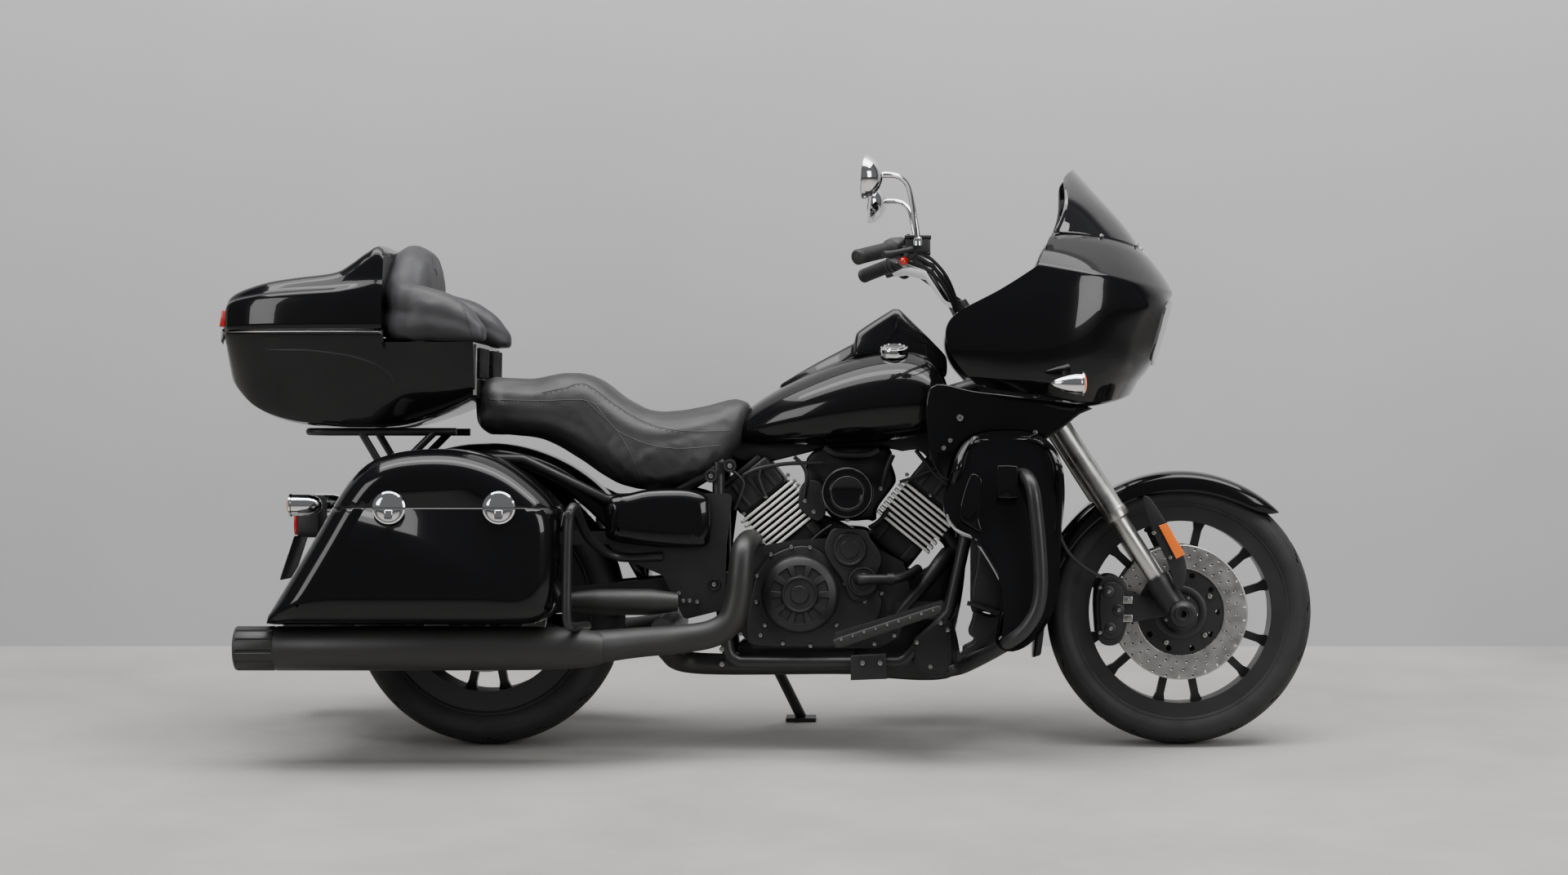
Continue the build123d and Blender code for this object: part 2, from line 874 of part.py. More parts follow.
# Dash panel inside the fairing, sloped along the fork
dash_outline = [
    (dash_low_x, dash_low_z),
    (dash_low_x + dash_thickness, dash_low_z),
    (dash_high_x + dash_thickness, dash_high_z),
    (dash_high_x, dash_high_z),
]
dash_half = fairing_half_width * 0.84 - fairing_wall
instrument_panel = slab(dash_outline, -dash_half, dash_half)
cowl_edge = horseshoe_path(fairing_rows[-1], fairing_wall)
cowl = extrude(
    make_face([*cowl_edge.edges(), Line(cowl_edge @ 0, cowl_edge @ 1).edge()]), amount=-fairing_wall
)
instrument_panel += cowl
instrument_panel -= fairing
instrument_panel -= headlamp
instrument_panel = instrument_panel.solids().sort_by(SortBy.VOLUME)[-1]

# Windscreen: curved sheet in level sections: height, front reach, half width and back as shares
screen_low_z = fairing_base_z + fairing_height
screen_rows = [(0.0, 1.0, 1.0, 0.0), (0.5, 0.60, 0.93, 0.03), (1.0, 0.17, 0.60, 0.12)]


def screen_section(row):
    up, reach, half, back = row
    height = screen_low_z + (screen_high_z - screen_low_z) * up
    back_x = screen_back_x + screen_front_reach * back
    half_width = screen_half_width * half
    front_x = back_x + screen_front_reach * reach
    outer = ThreePointArc((back_x, -half_width, height), (front_x, 0, height), (back_x, half_width, height))
    inner_half = half_width - screen_thickness
    inner = ThreePointArc(
        (back_x, -inner_half, height), (front_x - screen_thickness, 0, height), (back_x, inner_half, height)
    )
    sides = [
        Line((back_x, side * half_width, height), (back_x, side * inner_half, height)) for side in (-1, 1)
    ]
    return make_face([outer.edge(), inner.edge(), sides[0].edge(), sides[1].edge()])


windscreen = loft([screen_section(row) for row in screen_rows], ruled=True)
windscreen -= fairing

# Bodies that are lofted along X: along, low half width, high half width, low, high, round


def stations(rows, x_start, length, half_width, z_start, height, y_middle=0.0):
    return [
        cross_section(
            x_start + length * along, y_middle, half_width * low_half, half_width * high_half,
            z_start + height * low, z_start + height * high, round_share,
        )
        for along, low_half, high_half, low, high, round_share in rows
    ]


tank_rows = [
    (0.0, 0.34, 0.26, 0.08, 0.22, 0.7),
    (0.09, 0.52, 0.40, 0.0, 0.41, 0.7),
    (0.22, 0.70, 0.52, 0.0, 0.60, 0.7),
    (0.41, 0.86, 0.66, 0.02, 0.80, 0.7),
    (0.60, 0.97, 0.76, 0.05, 0.95, 0.7),
    (0.79, 1.0, 0.80, 0.075, 1.0, 0.7),
    (0.905, 0.97, 0.76, 0.10, 0.92, 0.7),
    (0.985, 0.84, 0.62, 0.24, 0.68, 0.7),
]
tank = lofted(stations(tank_rows, tank_back_x, tank_length, tank_half_width, tank_bottom_z, tank_height))
backbone_start = (backbone_back_x, 0, backbone_back_z)
backbone_end = (backbone_front_x, 0, backbone_front_z)
tunnel_rise = backbone_radius + tunnel_gap
tunnel = slab(
    [
        (backbone_back_x, backbone_back_z + tunnel_rise),
        (backbone_back_x, backbone_back_z - tunnel_rise * 2),
        (backbone_front_x, backbone_back_z - tunnel_rise * 2),
        (backbone_front_x, backbone_front_z + tunnel_rise),
    ],
    -tunnel_rise, tunnel_rise,
)
tank -= tunnel
console_rows = [
    (0.0, 0.30, 0.25, 0.0, 0.27, 0.5),
    (0.235, 0.62, 0.55, 0.1, 0.51, 0.5),
    (0.385, 0.80, 0.74, 0.2, 0.63, 0.5),
    (0.46, 0.90, 0.84, 0.3, 0.78, 0.5),
    (0.66, 1.0, 0.92, 0.4, 0.99, 0.5),
    (0.72, 1.0, 0.92, 0.4, 1.0, 0.5),
    (0.83, 0.94, 0.85, 0.4, 0.84, 0.5),
    (1.0, 0.80, 0.70, 0.4, 0.56, 0.5),
]
console_sections = stations(
    console_rows, console_back_x, console_length, console_half_width, console_base_z, console_height
)
console = lofted(console_sections, ruled=True)
console -= tank
console = console.solids().sort_by(SortBy.VOLUME)[-1]
cap_base_z = tank_bottom_z + tank_height * 0.8
fuel_cap = Pos(cap_x, cap_y, cap_base_z) * Cylinder(
    cap_radius, tank_height * 0.2 + cap_height / 2, align=(Align.CENTER, Align.CENTER, Align.MIN)
)
fuel_cap -= tank
fuel_cap -= console

# Seat
seat_rows = [
    (0.0, 0.74, 0.70, 0.49, 0.95, 0.5),
    (0.15, 0.84, 0.74, 0.46, 0.94, 0.5),
    (0.28, 0.86, 0.76, 0.42, 0.97, 0.5),
    (0.40, 0.90, 0.76, 0.25, 0.99, 0.5),
    (0.51, 0.97, 0.82, 0.04, 0.82, 0.5),
    (0.63, 1.0, 0.88, 0.0, 0.67, 0.5),
    (0.76, 0.97, 0.84, 0.06, 0.65, 0.5),
    (0.87, 0.78, 0.62, 0.20, 0.73, 0.5),
    (0.96, 0.54, 0.44, 0.36, 0.79, 0.5),
    (1.0, 0.38, 0.30, 0.55, 0.74, 0.5),
]
seat = lofted(stations(seat_rows, seat_back_x, seat_length, seat_half_width, seat_base_z, seat_height))
seat -= tank
seat -= tunnel
seat = seat.solids().sort_by(SortBy.VOLUME)[-1]

# Rear fender


def rear_fender_shell(radius, half_width, inset):
    arch = wedge(
        radius + cut_overrun, rear_fender_front_angle, rear_fender_back_angle, -half_width, half_width
    )
    arch &= across(0, 0, radius, -half_width, half_width)
    back_angle = radians(rear_fender_back_angle)
    joint_x = radius * cos(back_angle)
    joint_z = radius * sin(back_angle)
    end_z = rear_tail_z - rear_tyre_radius
    tail = slab(
        [
            (joint_x, joint_z),
            (rear_tail_x + rear_fender_wall * (inset > 0), end_z - inset),
            (rear_tail_x * 0.8, end_z - inset - rear_fender_wall * 3),
            (joint_x * 0.8, joint_z * 0.8),
        ],
        -half_width, half_width,
    )
    return arch + tail


rear_fender = rear_fender_shell(rear_fender_radius, rear_fender_half_width, 0)
rear_fender -= rear_fender_shell(
    rear_fender_radius - rear_fender_wall, rear_fender_half_width - rear_fender_wall, cut_overrun
)
rear_skirt_end = rear_fender_half_width + cut_overrun
rear_fender -= across(0, 0, rear_fender_skirt_radius, -rear_skirt_end, rear_skirt_end)
rear_fender = rear_spin * rear_fender

# Side stand: it leans with the machine, and only its pad is level with the road
lean = radians(lean_angle)
tyre_dip = max(front_tyre_width, rear_tyre_width) / 2 * (1 - cos(lean))
stand_pivot = Vector(stand_pivot_x, stand_pivot_y, stand_pivot_z)
ground_z = stand_foot_y * tan(lean) - tyre_dip / cos(lean)
pad_frame = Pos(stand_foot_x, stand_foot_y, ground_z) * Rot(lean_angle, 0, 0)
stand_pad = pad_frame * Box(
    stand_foot_length, stand_foot_width, stand_foot_thickness, align=(Align.CENTER, Align.CENTER, Align.MIN)
)
foot_top = Vector(stand_foot_x, stand_foot_y, ground_z + stand_foot_thickness)
stand_run = foot_top - stand_pivot
folded_way = Vector(-1, 0.12, 0.12)
stand_axis = stand_run.cross(folded_way).normalized()
stand_frame = Plane(origin=stand_pivot, z_dir=stand_axis)
stand_leg = rod(tuple(stand_pivot), tuple(foot_top), stand_leg_radius)
stand_eye = stand_frame * Cylinder(stand_eye_radius, stand_eye_half * 2)
stand_pin_hole = stand_frame * Cylinder(pivot_radius / 2 + running_gap, cut_overrun * 2)
side_stand = stand_leg + stand_eye + stand_pad - stand_pin_hole
lug_middle = stand_eye_half + stand_side_gap + stand_lug_thickness / 2
stand_bracket = stand_frame * (
    Cylinder(pivot_radius / 2, lug_middle * 2)
    + Pos(0, 0, lug_middle) * Cylinder(stand_lug_radius, stand_lug_thickness)
    + Pos(0, 0, -lug_middle) * Cylinder(stand_lug_radius, stand_lug_thickness)
)
bracket_root = stand_pivot - stand_axis * lug_middle
stand_bracket += rod(
    (stand_pivot_x, frame_tube_spread, rail_z), tuple(bracket_root), stand_lug_radius * 0.8
) - stand_frame * Cylinder(stand_eye_radius + moving_gap, (stand_eye_half + stand_side_gap) * 2)

# Frame tubes
head_low = lower_clamp_height + clamp_thickness + head_end_gap
head_high = upper_clamp_height - head_end_gap
gusset_top = fork_point(-head_radius / 2, 0, head_high)
gusset_low = fork_point(-head_radius / 2, 0, head_low)
gusset = slab(
    [
        (gusset_top[0], gusset_top[2]),
        (backbone_front_x, backbone_front_z + backbone_radius),
        (backbone_front_x, backbone_front_z - backbone_radius * 4),
        (gusset_low[0], gusset_low[2]),
    ],
    -head_radius * 0.8, head_radius * 0.8,
)
frame_tubes = axis_rod(head_low, head_high, head_radius) + gusset
frame_tubes += rod(backbone_start, backbone_end, backbone_radius)
fairing_stay = slab(
    [
        (gusset_top[0], gusset_top[2] - stay_height * 2),
        (dash_low_x, gusset_top[2] - stay_height * 2),
        (dash_low_x, gusset_top[2] - stay_height),
        (gusset_top[0], gusset_top[2] - stay_height),
    ],
    -stay_half, stay_half,
)
fairing_stay -= instrument_panel
frame_tubes += fairing_stay.solids().sort_by(Axis.X)[0]
frame_tubes -= axis_rod(0, head_high + cut_overrun * 5, stem_radius + running_gap)

down_top_x = backbone_front_x - frame_tube_radius * 2
cradle = tube(
    [
        (down_top_x, -head_radius / 2, backbone_front_z - backbone_radius * 3),
        (backbone_front_x - frame_tube_radius * 2, -frame_tube_spread, tank_bottom_z - frame_tube_radius * 2),
        (wheelbase * 0.6895, -frame_tube_spread, case_low_z + case_height),
        (wheelbase * 0.666, -frame_tube_spread, plate_low_z + frame_tube_radius),
        (wheelbase * 0.60, -frame_tube_spread, rail_z),
        (case_back_x - frame_tube_radius, -frame_tube_spread, rail_z),
        (pivot_x, -frame_tube_spread, pivot_z),
        (backbone_back_x, -rail_spread, backbone_back_z),
    ],
    frame_tube_radius, frame_tube_radius * 2.5,
)
subframe = tube(
    [
        (backbone_back_x + frame_tube_radius, -rail_spread, backbone_back_z),
        (seat_back_x + seat_length * 0.70, -rail_spread, seat_base_z - subframe_radius * 3),
        (seat_back_x + seat_length * 0.50, -rail_spread, seat_base_z - subframe_radius * 3),
        (seat_back_x + seat_length * 0.20, -rail_spread, tank_bottom_z - subframe_radius * 2.5),
        (latch_back_x, -rail_spread, tank_bottom_z - subframe_radius * 2),
    ],
    subframe_radius, subframe_radius * 3,
)
cross_bars = across(backbone_back_x, backbone_back_z, subframe_radius, -rail_spread, rail_spread)
bar_x = latch_back_x + subframe_radius * 2
bar_z = tank_bottom_z - subframe_radius * 2
cross_bars += across(bar_x, bar_z, subframe_radius * 0.8, -rail_spread, rail_spread)
cross_bars += across(pivot_x, pivot_z, pivot_radius, -frame_tube_spread, frame_tube_spread)
for bar_x, bar_z in (
    (case_back_x - frame_tube_radius, rail_z), (wheelbase * 0.666, plate_low_z + frame_tube_radius),
):
    cross_bars += across(bar_x, bar_z, subframe_radius, -frame_tube_spread, frame_tube_spread)
frame_tubes += cross_bars
hanger_spans = [
    (case_back_x + case_length * 0.9, wheelbase * 0.672),
    (pivot_x, case_back_x + case_length * 0.1),
]
for hanger_back, hanger_front in hanger_spans:
    hanger = span_box(
        hanger_back, hanger_front, case_half_width, case_half_width + hanger_thickness,
        plate_low_z, plate_low_z + hanger_height,
    )
    frame_tubes += [hanger, mirrored(hanger)]
frame_tubes += [cradle, mirrored(cradle), subframe, mirrored(subframe)]
frame_tubes += stand_bracket
rear_fender -= frame_tubes
seat -= frame_tubes
seat = seat.solids().sort_by(SortBy.VOLUME)[-1]

# Frame side plates
plate_shares = [
    (0.0, 0.62), (0.08, 0.98), (0.55, 1.0), (1.0, 1.0), (0.95, 0.6), (0.94, 0.08), (0.62, 0.0), (0.45, 0.35),
    (0.1, 0.5),
]
plate_outline = spread_points(plate_shares, plate_back_x, plate_length, plate_low_z, plate_height)
side_plate = slab(plate_outline, plate_inner_y, plate_inner_y + plate_thickness, cover_corner / 2)
side_plate += span_box(
    bag_post_front_x - pivot_radius, plate_back_x + pivot_radius * 2,
    plate_inner_y, plate_inner_y + plate_thickness,
    bag_post_front_z - pivot_radius, bag_post_front_z + pivot_radius,
)
side_plate -= frame_tubes
side_plates = pair(side_plate)

# Side covers
cover_shares = [(0.0, 0.10), (0.03, 0.82), (0.40, 0.97), (0.86, 1.0), (1.0, 0.62), (0.98, 0.12), (0.88, 0.0)]
cover_outline = spread_points(cover_shares, cover_back_x, cover_length, cover_low_z, cover_height)
side_cover = slab(cover_outline, cover_inner_y, cover_inner_y + cover_thickness, cover_corner)
cover_post_y = plate_inner_y + plate_thickness
for share in (0.25, 0.75):
    side_cover += across(
        cover_back_x + cover_length * share, cover_low_z + cover_height / 2, pivot_radius / 2,
        cover_post_y, cover_inner_y,
    )
side_covers = pair(side_cover)

# Swingarm
arm = slab(
    [
        (pivot_x + arm_half_height, pivot_z - arm_half_height),
        (pivot_x + arm_half_height, pivot_z + arm_half_height),
        (-arm_half_height * 2, rear_tyre_radius + arm_half_height),
        (-arm_half_height * 2, rear_tyre_radius - arm_half_height),
    ],
    arm_inner_y, arm_inner_y + arm_thickness, arm_half_height / 2,
)
swingarm = arm + mirrored(arm)
swingarm += rear_spin * across(0, 0, rear_axle_radius, -arm_inner_y, arm_inner_y)
bridge_x = rear_tyre_radius + arm_half_height * 2
swingarm += span_box(
    bridge_x, bridge_x + arm_half_height, -arm_inner_y, arm_inner_y,
    pivot_z - arm_half_height, pivot_z,
)
swingarm -= frame_tubes
swingarm = swingarm.solids().sort_by(SortBy.VOLUME)[-1]

# Engine: crankcase, finned cylinders, heads and round covers
case_shares = [
    (0.0, 0.18), (0.0, 0.72), (0.10, 0.92), (0.32, 0.98), (0.50, 1.0), (0.72, 0.98), (0.95, 0.78),
    (1.0, 0.45), (0.92, 0.10), (0.80, 0.0), (0.10, 0.0),
]
case_outline = spread_points(case_shares, case_back_x, case_length, case_low_z, case_height)
engine_case = slab(case_outline, -case_half_width, case_half_width)
engine_case -= frame_tubes


def tilted(piece, tilt):
    return Pos(crank_x, 0, crank_z) * Rot(0, tilt, 0) * piece


def make_cylinder(tilt):
    low = cylinder_reach - cylinder_length / 2
    core = cylinder_core_share
    barrel = span_box(
        -cylinder_half_width * core, cylinder_half_width * core,
        -cylinder_half_depth * core, cylinder_half_depth * core, low, low + cylinder_length,
    )
    pitch = cylinder_length / fin_count
    for number in range(fin_count):
        fin_z = low + pitch * number
        barrel += span_box(
            -cylinder_half_width, cylinder_half_width, -cylinder_half_depth, cylinder_half_depth,
            fin_z, fin_z + fin_thickness,
        )
    return tilted(barrel, tilt)


def make_head(tilt):
    low = cylinder_reach + cylinder_length / 2
    head = span_box(
        -head_half_width, head_half_width, -head_half_depth, head_half_depth, low, low + head_length
    )
    groove_pitch = head_length / (head_grooves + 1)
    for number in range(head_grooves):
        groove_z = low + groove_pitch * (number + 0.5)
        groove = span_box(
            -head_half_width - cut_overrun, head_half_width + cut_overrun,
            -head_half_depth - cut_overrun, head_half_depth + cut_overrun,
            groove_z, groove_z + groove_pitch / 2,
        )
        head -= groove - span_box(
            -head_half_width + head_groove_depth, head_half_width - head_groove_depth,
            -head_half_depth + head_groove_depth, head_half_depth - head_groove_depth, low, low + head_length,
        )
    return tilted(head, tilt)


cylinder_rear = make_cylinder(-vee_half_angle)
cylinder_front = make_cylinder(vee_half_angle)
vee_gap = span_box(
    crank_x - seat_gap, crank_x + seat_gap, -case_half_width, case_half_width,
    crank_z, crank_z + cylinder_reach,
)
cylinder_rear -= engine_case
cylinder_front -= engine_case
cylinder_rear -= vee_gap
cylinder_front -= vee_gap
cylinder_rear = cylinder_rear.solids().sort_by(SortBy.VOLUME)[-1]
cylinder_front = cylinder_front.solids().sort_by(SortBy.VOLUME)[-1]
heads = [make_head(tilt) - frame_tubes - tank for tilt in (-vee_half_angle, vee_half_angle)]

round_covers = [
    (clutch_x, clutch_z, clutch_radius, clutch_depth),
    (pump_x, pump_z, pump_radius, pump_depth),
    (port_x, port_z, pump_radius, port_depth),
]
engine_covers = []
for x, z, radius, depth in round_covers:
    for side in (-1, 1):
        cover = across(x, z, radius, -depth, 0) if side < 0 else across(x, z, radius, 0, depth)
        rim = cover.edges().filter_by(GeomType.CIRCLE).group_by(Axis.Y)[0 if side < 0 else -1]
        cover = Pos(0, side * case_half_width, 0) * fillet(rim, cover_round)
        engine_covers.append(cover)
engine_covers[0] -= engine_covers[2]
engine_covers[1] -= engine_covers[3]
window_circle = (clutch_radius - cover_round) * 0.7
clutch_face = case_half_width + clutch_depth
for number in range(clutch_windows):
    angle = radians(360 / clutch_windows * number)
    window = across(
        clutch_x + window_circle * cos(angle), clutch_z + window_circle * sin(angle), clutch_window_radius,
        -clutch_face - cut_overrun, -clutch_face + clutch_window_depth,
    )
    engine_covers[0] -= window
cleaner = across(cleaner_x, cleaner_z, cleaner_radius, -cleaner_depth, 0)
cleaner_rim = cleaner.edges().filter_by(GeomType.CIRCLE).group_by(Axis.Y)[0]
air_cleaner = Pos(0, cleaner_depth - cleaner_face_y, 0) * fillet(cleaner_rim, cover_round)
air_cleaner += across(
    cleaner_x, cleaner_z, cleaner_radius / 2, cleaner_depth - cleaner_face_y, 0
)
for number in range(cleaner_rings):
    ring_radius = (cleaner_radius - cover_round) * (number + 1) / (cleaner_rings + 1)
    ring = ring_piece(
        ring_radius + ring_groove, ring_radius, -cleaner_face_y - ring_groove, -cleaner_face_y + ring_groove
    )
    air_cleaner -= Pos(cleaner_x, 0, cleaner_z) * ring
air_cleaner += span_box(
    cleaner_x - cleaner_radius * 2, cleaner_x + cleaner_radius * 2, -cylinder_half_depth - hanger_thickness,
    -cylinder_half_depth, cleaner_z - cleaner_radius / 3, cleaner_z,
)
for piece in (cylinder_rear, cylinder_front, *heads):
    air_cleaner -= piece
air_cleaner = air_cleaner.solids().sort_by(SortBy.VOLUME)[-1]

# Radiator with its side tanks
radiator = span_box(
    radiator_x - radiator_thickness / 2, radiator_x + radiator_thickness / 2,
    -radiator_half_width, radiator_half_width, radiator_low_z, radiator_high_z,
)
fin_pitch = (radiator_high_z - radiator_low_z - radiator_frame * 2) / radiator_fins
for number in range(radiator_fins):
    fin_z = radiator_low_z + radiator_frame + fin_pitch * number
    radiator -= span_box(
        radiator_x + radiator_thickness / 2 - radiator_fin_depth, radiator_x + radiator_thickness,
        -radiator_half_width + radiator_frame, radiator_half_width - radiator_frame,
        fin_z, fin_z + fin_pitch / 2,
    )
radiator -= frame_tubes
radiator = radiator.solids().sort_by(SortBy.VOLUME)[-1]

# Exhaust
header = tube(
    [
        (wheelbase * 0.378, -head_half_depth - header_radius / 2, muffler_z + muffler_radius * 4.6),
        (wheelbase * 0.378, -header_y, muffler_z + muffler_radius * 4.2),
        (wheelbase * 0.371, -header_y, header_z + header_radius * 3),
        (wheelbase * 0.335, -header_y, header_z),
        (upper_pipe_front_x, -header_y, header_z),
    ],
    header_radius, header_radius * 1.4,
)
collector = rod(
    (upper_pipe_front_x, -header_y, header_z),
    (muffler_cone_x, -muffler_y, muffler_z + muffler_radius / 2), link_radius,
)
crossover = across(upper_pipe_front_x - link_radius, header_z, header_radius, -header_y, header_y)
left_collector = mirrored(collector)
upper_pipe = rod(
    (upper_pipe_back_x, -upper_pipe_y, upper_pipe_z),
    (upper_pipe_front_x, -upper_pipe_y, upper_pipe_z), upper_pipe_radius,
)
front_header = tube(
    [
        (wheelbase * 0.648, -head_half_depth / 2, case_low_z + case_height * 1.12),
        (wheelbase * 0.676, -head_half_depth / 2, case_low_z + case_height * 0.8),
        (wheelbase * 0.664, -head_half_depth / 2, rail_z + header_radius * 3),
        (wheelbase * 0.60, -head_half_depth / 2, rail_z - frame_tube_radius / 2),
        (upper_pipe_front_x, -head_half_depth / 2, rail_z - frame_tube_radius / 2),
        (upper_pipe_front_x - link_radius, -header_y, header_z - header_radius / 2),
    ],
    header_radius, header_radius * 1.2,
)
exhaust_pipes = header + collector + crossover + left_collector + front_header
exhaust_pipes += upper_pipe
exhaust_pipes -= [engine_case, cylinder_rear, cylinder_front]
exhaust_pipes -= frame_tubes
exhaust_pipes -= side_plates[0]
exhaust_pipes -= side_plates[1]
for head in heads:
    exhaust_pipes -= head
exhaust_pipes = exhaust_pipes.solids().sort_by(SortBy.VOLUME)[-1]
muffler = rod(
    (muffler_back_x, -muffler_y, muffler_z), (muffler_front_x, -muffler_y, muffler_z), muffler_radius
)
muffler += Pos(muffler_front_x, -muffler_y, muffler_z) * Rot(0, 90, 0) * Cone(
    muffler_radius, link_radius, muffler_cone_x - muffler_front_x + link_radius,
    align=(Align.CENTER, Align.CENTER, Align.MIN),
)
muffler -= rod(
    (muffler_back_x - cut_overrun, -muffler_y, muffler_z),
    (muffler_back_x + muffler_bore_depth, -muffler_y, muffler_z), muffler_radius * muffler_bore_share,
)
muffler -= exhaust_pipes
muffler_right = muffler.solids().sort_by(SortBy.VOLUME)[-1]
left_muffler = mirrored(muffler_right) - exhaust_pipes
muffler_left = left_muffler.solids().sort_by(SortBy.VOLUME)[-1]

# Saddlebags: side outline shares with the arched lid
bag_shares = [
    (0.0, 0.0), (0.22, 0.67), (0.30, 0.88), (0.39, 0.96), (0.49, 0.99), (0.59, 1.0), (0.69, 0.98),
    (0.77, 0.93), (0.85, 0.85), (0.935, 0.75), (0.965, 0.67), (0.955, 0.10), (0.91, 0.0),
]
bag_outline = spread_points(bag_shares, bag_back_x, bag_length, bag_low_z, bag_height)


def bag_block(inset):
    points = [(x, -bag_inner_y - inset, z) for x, z in bag_outline]
    face = make_face(Polyline(*points, close=True))
    if inset > 0:
        face = offset(face, -inset, kind=Kind.INTERSECTION).face()
    return extrude(face, amount=bag_width - inset * 2, dir=(0, -1, 0))


bag_outer = bag_block(0)
outer_rim = bag_outer.faces().sort_by(Axis.Y)[0].edges()
bag_outer = fillet(outer_rim, bag_round)
bag_shell = bag_outer - bag_block(bag_wall)
bag_cutter = span_box(
    bag_back_x - cut_overrun, bag_back_x + bag_length + cut_overrun,
    -bag_inner_y - bag_width - cut_overrun, -bag_inner_y + cut_overrun,
    bag_seam_z, bag_low_z + bag_height + cut_overrun,
)
bag_base = bag_shell - Pos(0, 0, -lid_gap / 2) * bag_cutter
bag_lid = bag_shell & Pos(0, 0, lid_gap / 2) * bag_cutter
latch_face = -bag_inner_y - bag_width
for x in (latch_back_x, latch_front_x):
    disc = across(x, bag_seam_z, latch_radius, latch_face - latch_depth, latch_face + bag_wall / 2)
    bag_base += disc - Pos(0, 0, -lid_gap / 2) * bag_cutter
    bag_lid += disc & Pos(0, 0, lid_gap / 2) * bag_cutter
bag_posts = [
    (bag_post_front_x, bag_post_front_z, plate_inner_y + plate_thickness),
    (bag_post_back_x, bag_post_back_z, rear_fender_half_width),
]
for x, z, seat_y in bag_posts:
    bag_base += across(x, z, pivot_radius / 2, -bag_inner_y - bag_wall / 2, -seat_y)
bag_base -= rear_fender
bag_base -= frame_tubes
bag_base -= side_plates[1]
bag_hinge_y = bag_inner_y + bag_width + bag_hinge_out
bags = pair(bag_base)
bag_lids = pair(bag_lid)

# Top case
case_rows = [
    (0.03, 0.52, 0.70, 0.42, 0.88, 0.4),
    (0.20, 0.62, 0.90, 0.06, 0.97, 0.4),
    (0.45, 0.68, 0.95, 0.0, 1.0, 0.4),
    (0.70, 0.70, 0.96, 0.0, 1.0, 0.4),
    (1.0, 0.80, 0.94, 0.19, 0.98, 0.4),
]


# Hump of the lid behind the backrest
hump_rows = [
    (0.42, 0.66, 0.60, 0.80, 0.985, 0.4),
    (0.55, 0.70, 0.64, 0.80, 1.09, 0.4),
    (0.68, 0.74, 0.68, 0.80, 1.14, 0.4),
]


def case_block(rows, inset):
    faces = []
    for number, (along, low_half, high_half, low, high, round_share) in enumerate(rows):
        x_shift = inset if number == 0 else (-inset if number == len(rows) - 1 else 0)
        faces.append(
            cross_section(
                case_rear_x + top_case_length * along + x_shift, 0,
                top_case_half_width * low_half - inset, top_case_half_width * high_half - inset,
                top_case_base_z + top_case_height * low + inset,
                top_case_base_z + top_case_height * high - inset, round_share,
            )
        )
    return loft(faces, ruled=True)


case_solid = case_block(case_rows, 0)
case_room = case_block(case_rows, top_case_wall)
case_shell = case_solid - case_room
hump = case_block(hump_rows, 0)
hump_room = case_block(hump_rows, top_case_wall)
humped_shell = (case_solid + hump) - (case_room + hump_room)
seat -= case_solid
seat = seat.solids().sort_by(SortBy.VOLUME)[-1]
case_cutter = span_box(
    case_rear_x - cut_overrun, case_rear_x + top_case_length + cut_overrun,
    -top_case_half_width - cut_overrun, top_case_half_width + cut_overrun,
    top_case_seam_z, pad_high_z + cut_overrun,
)
top_case_base = case_shell - Pos(0, 0, -lid_gap / 2) * case_cutter
top_case_lid = humped_shell & Pos(0, 0, lid_gap / 2) * case_cutter
deck_z = pad_low_z - moving_gap * 1.2
front_room = span_box(
    pad_back_x, case_rear_x + top_case_length + cut_overrun * 2,
    -top_case_half_width - cut_overrun, top_case_half_width + cut_overrun,
    deck_z, pad_high_z + cut_overrun,
)
deck = case_solid & span_box(
    pad_back_x + top_case_wall, case_rear_x + top_case_length + cut_overrun,
    -top_case_half_width - cut_overrun, top_case_half_width + cut_overrun,
    deck_z - top_case_wall, deck_z,
)

# Backrest pad: it wraps forward at both sides and swings up with the lid
pad_rows = [
    (0.0, 0.96, 0.88, 0.0, 0.97, 0.4),
    (0.20, 1.0, 0.90, 0.0, 1.0, 0.4),
    (0.42, 1.0, 0.90, 0.0, 0.88, 0.4),
    (0.60, 1.0, 0.88, 0.0, 0.56, 0.4),
]
backrest = lofted(
    stations(pad_rows, pad_back_x, pad_reach, pad_half_width, pad_low_z, pad_high_z - pad_low_z), ruled=True
)
wing_rows = [
    (0.60, wing_half_share, 0.14, 0.0, 0.56, 0.5),
    (0.80, wing_half_share, 0.14, 0.0, 0.42, 0.5),
    (0.96, 0.12, 0.10, 0.0, 0.20, 0.5),
]
wing_sections = stations(
    wing_rows, pad_back_x, pad_reach, pad_half_width, pad_low_z, pad_high_z - pad_low_z,
    -pad_half_width * wing_middle_share,
)
wing = lofted(wing_sections, ruled=True)
backrest += [wing, mirrored(wing)]
lap_half = pad_half_width * (wing_middle_share - wing_half_share)
backrest -= span_box(
    pad_back_x + pad_reach * pad_middle_share, pad_back_x + pad_reach * 2, -lap_half, lap_half,
    pad_low_z - cut_overrun, pad_high_z + cut_overrun,
)
top_case_lid -= backrest
top_case_lid -= front_room
top_case_base -= front_room
top_case_base += deck
top_case_lid = top_case_lid.solids().sort_by(SortBy.VOLUME)[-1]
hinge_ear = slab(
    [
        (hinge_x - hinge_radius * 6, hinge_z - hinge_radius * 4),
        (hinge_x + hinge_radius, hinge_z - hinge_radius * 2),
        (hinge_x + hinge_radius, hinge_z - hinge_radius),
        (hinge_x - hinge_radius * 9, hinge_z - hinge_radius),
        (hinge_x - hinge_radius * 11, hinge_z - hinge_radius * 4),
    ],
    -hinge_radius * 4, hinge_radius * 4,
)
top_case_base += hinge_ear

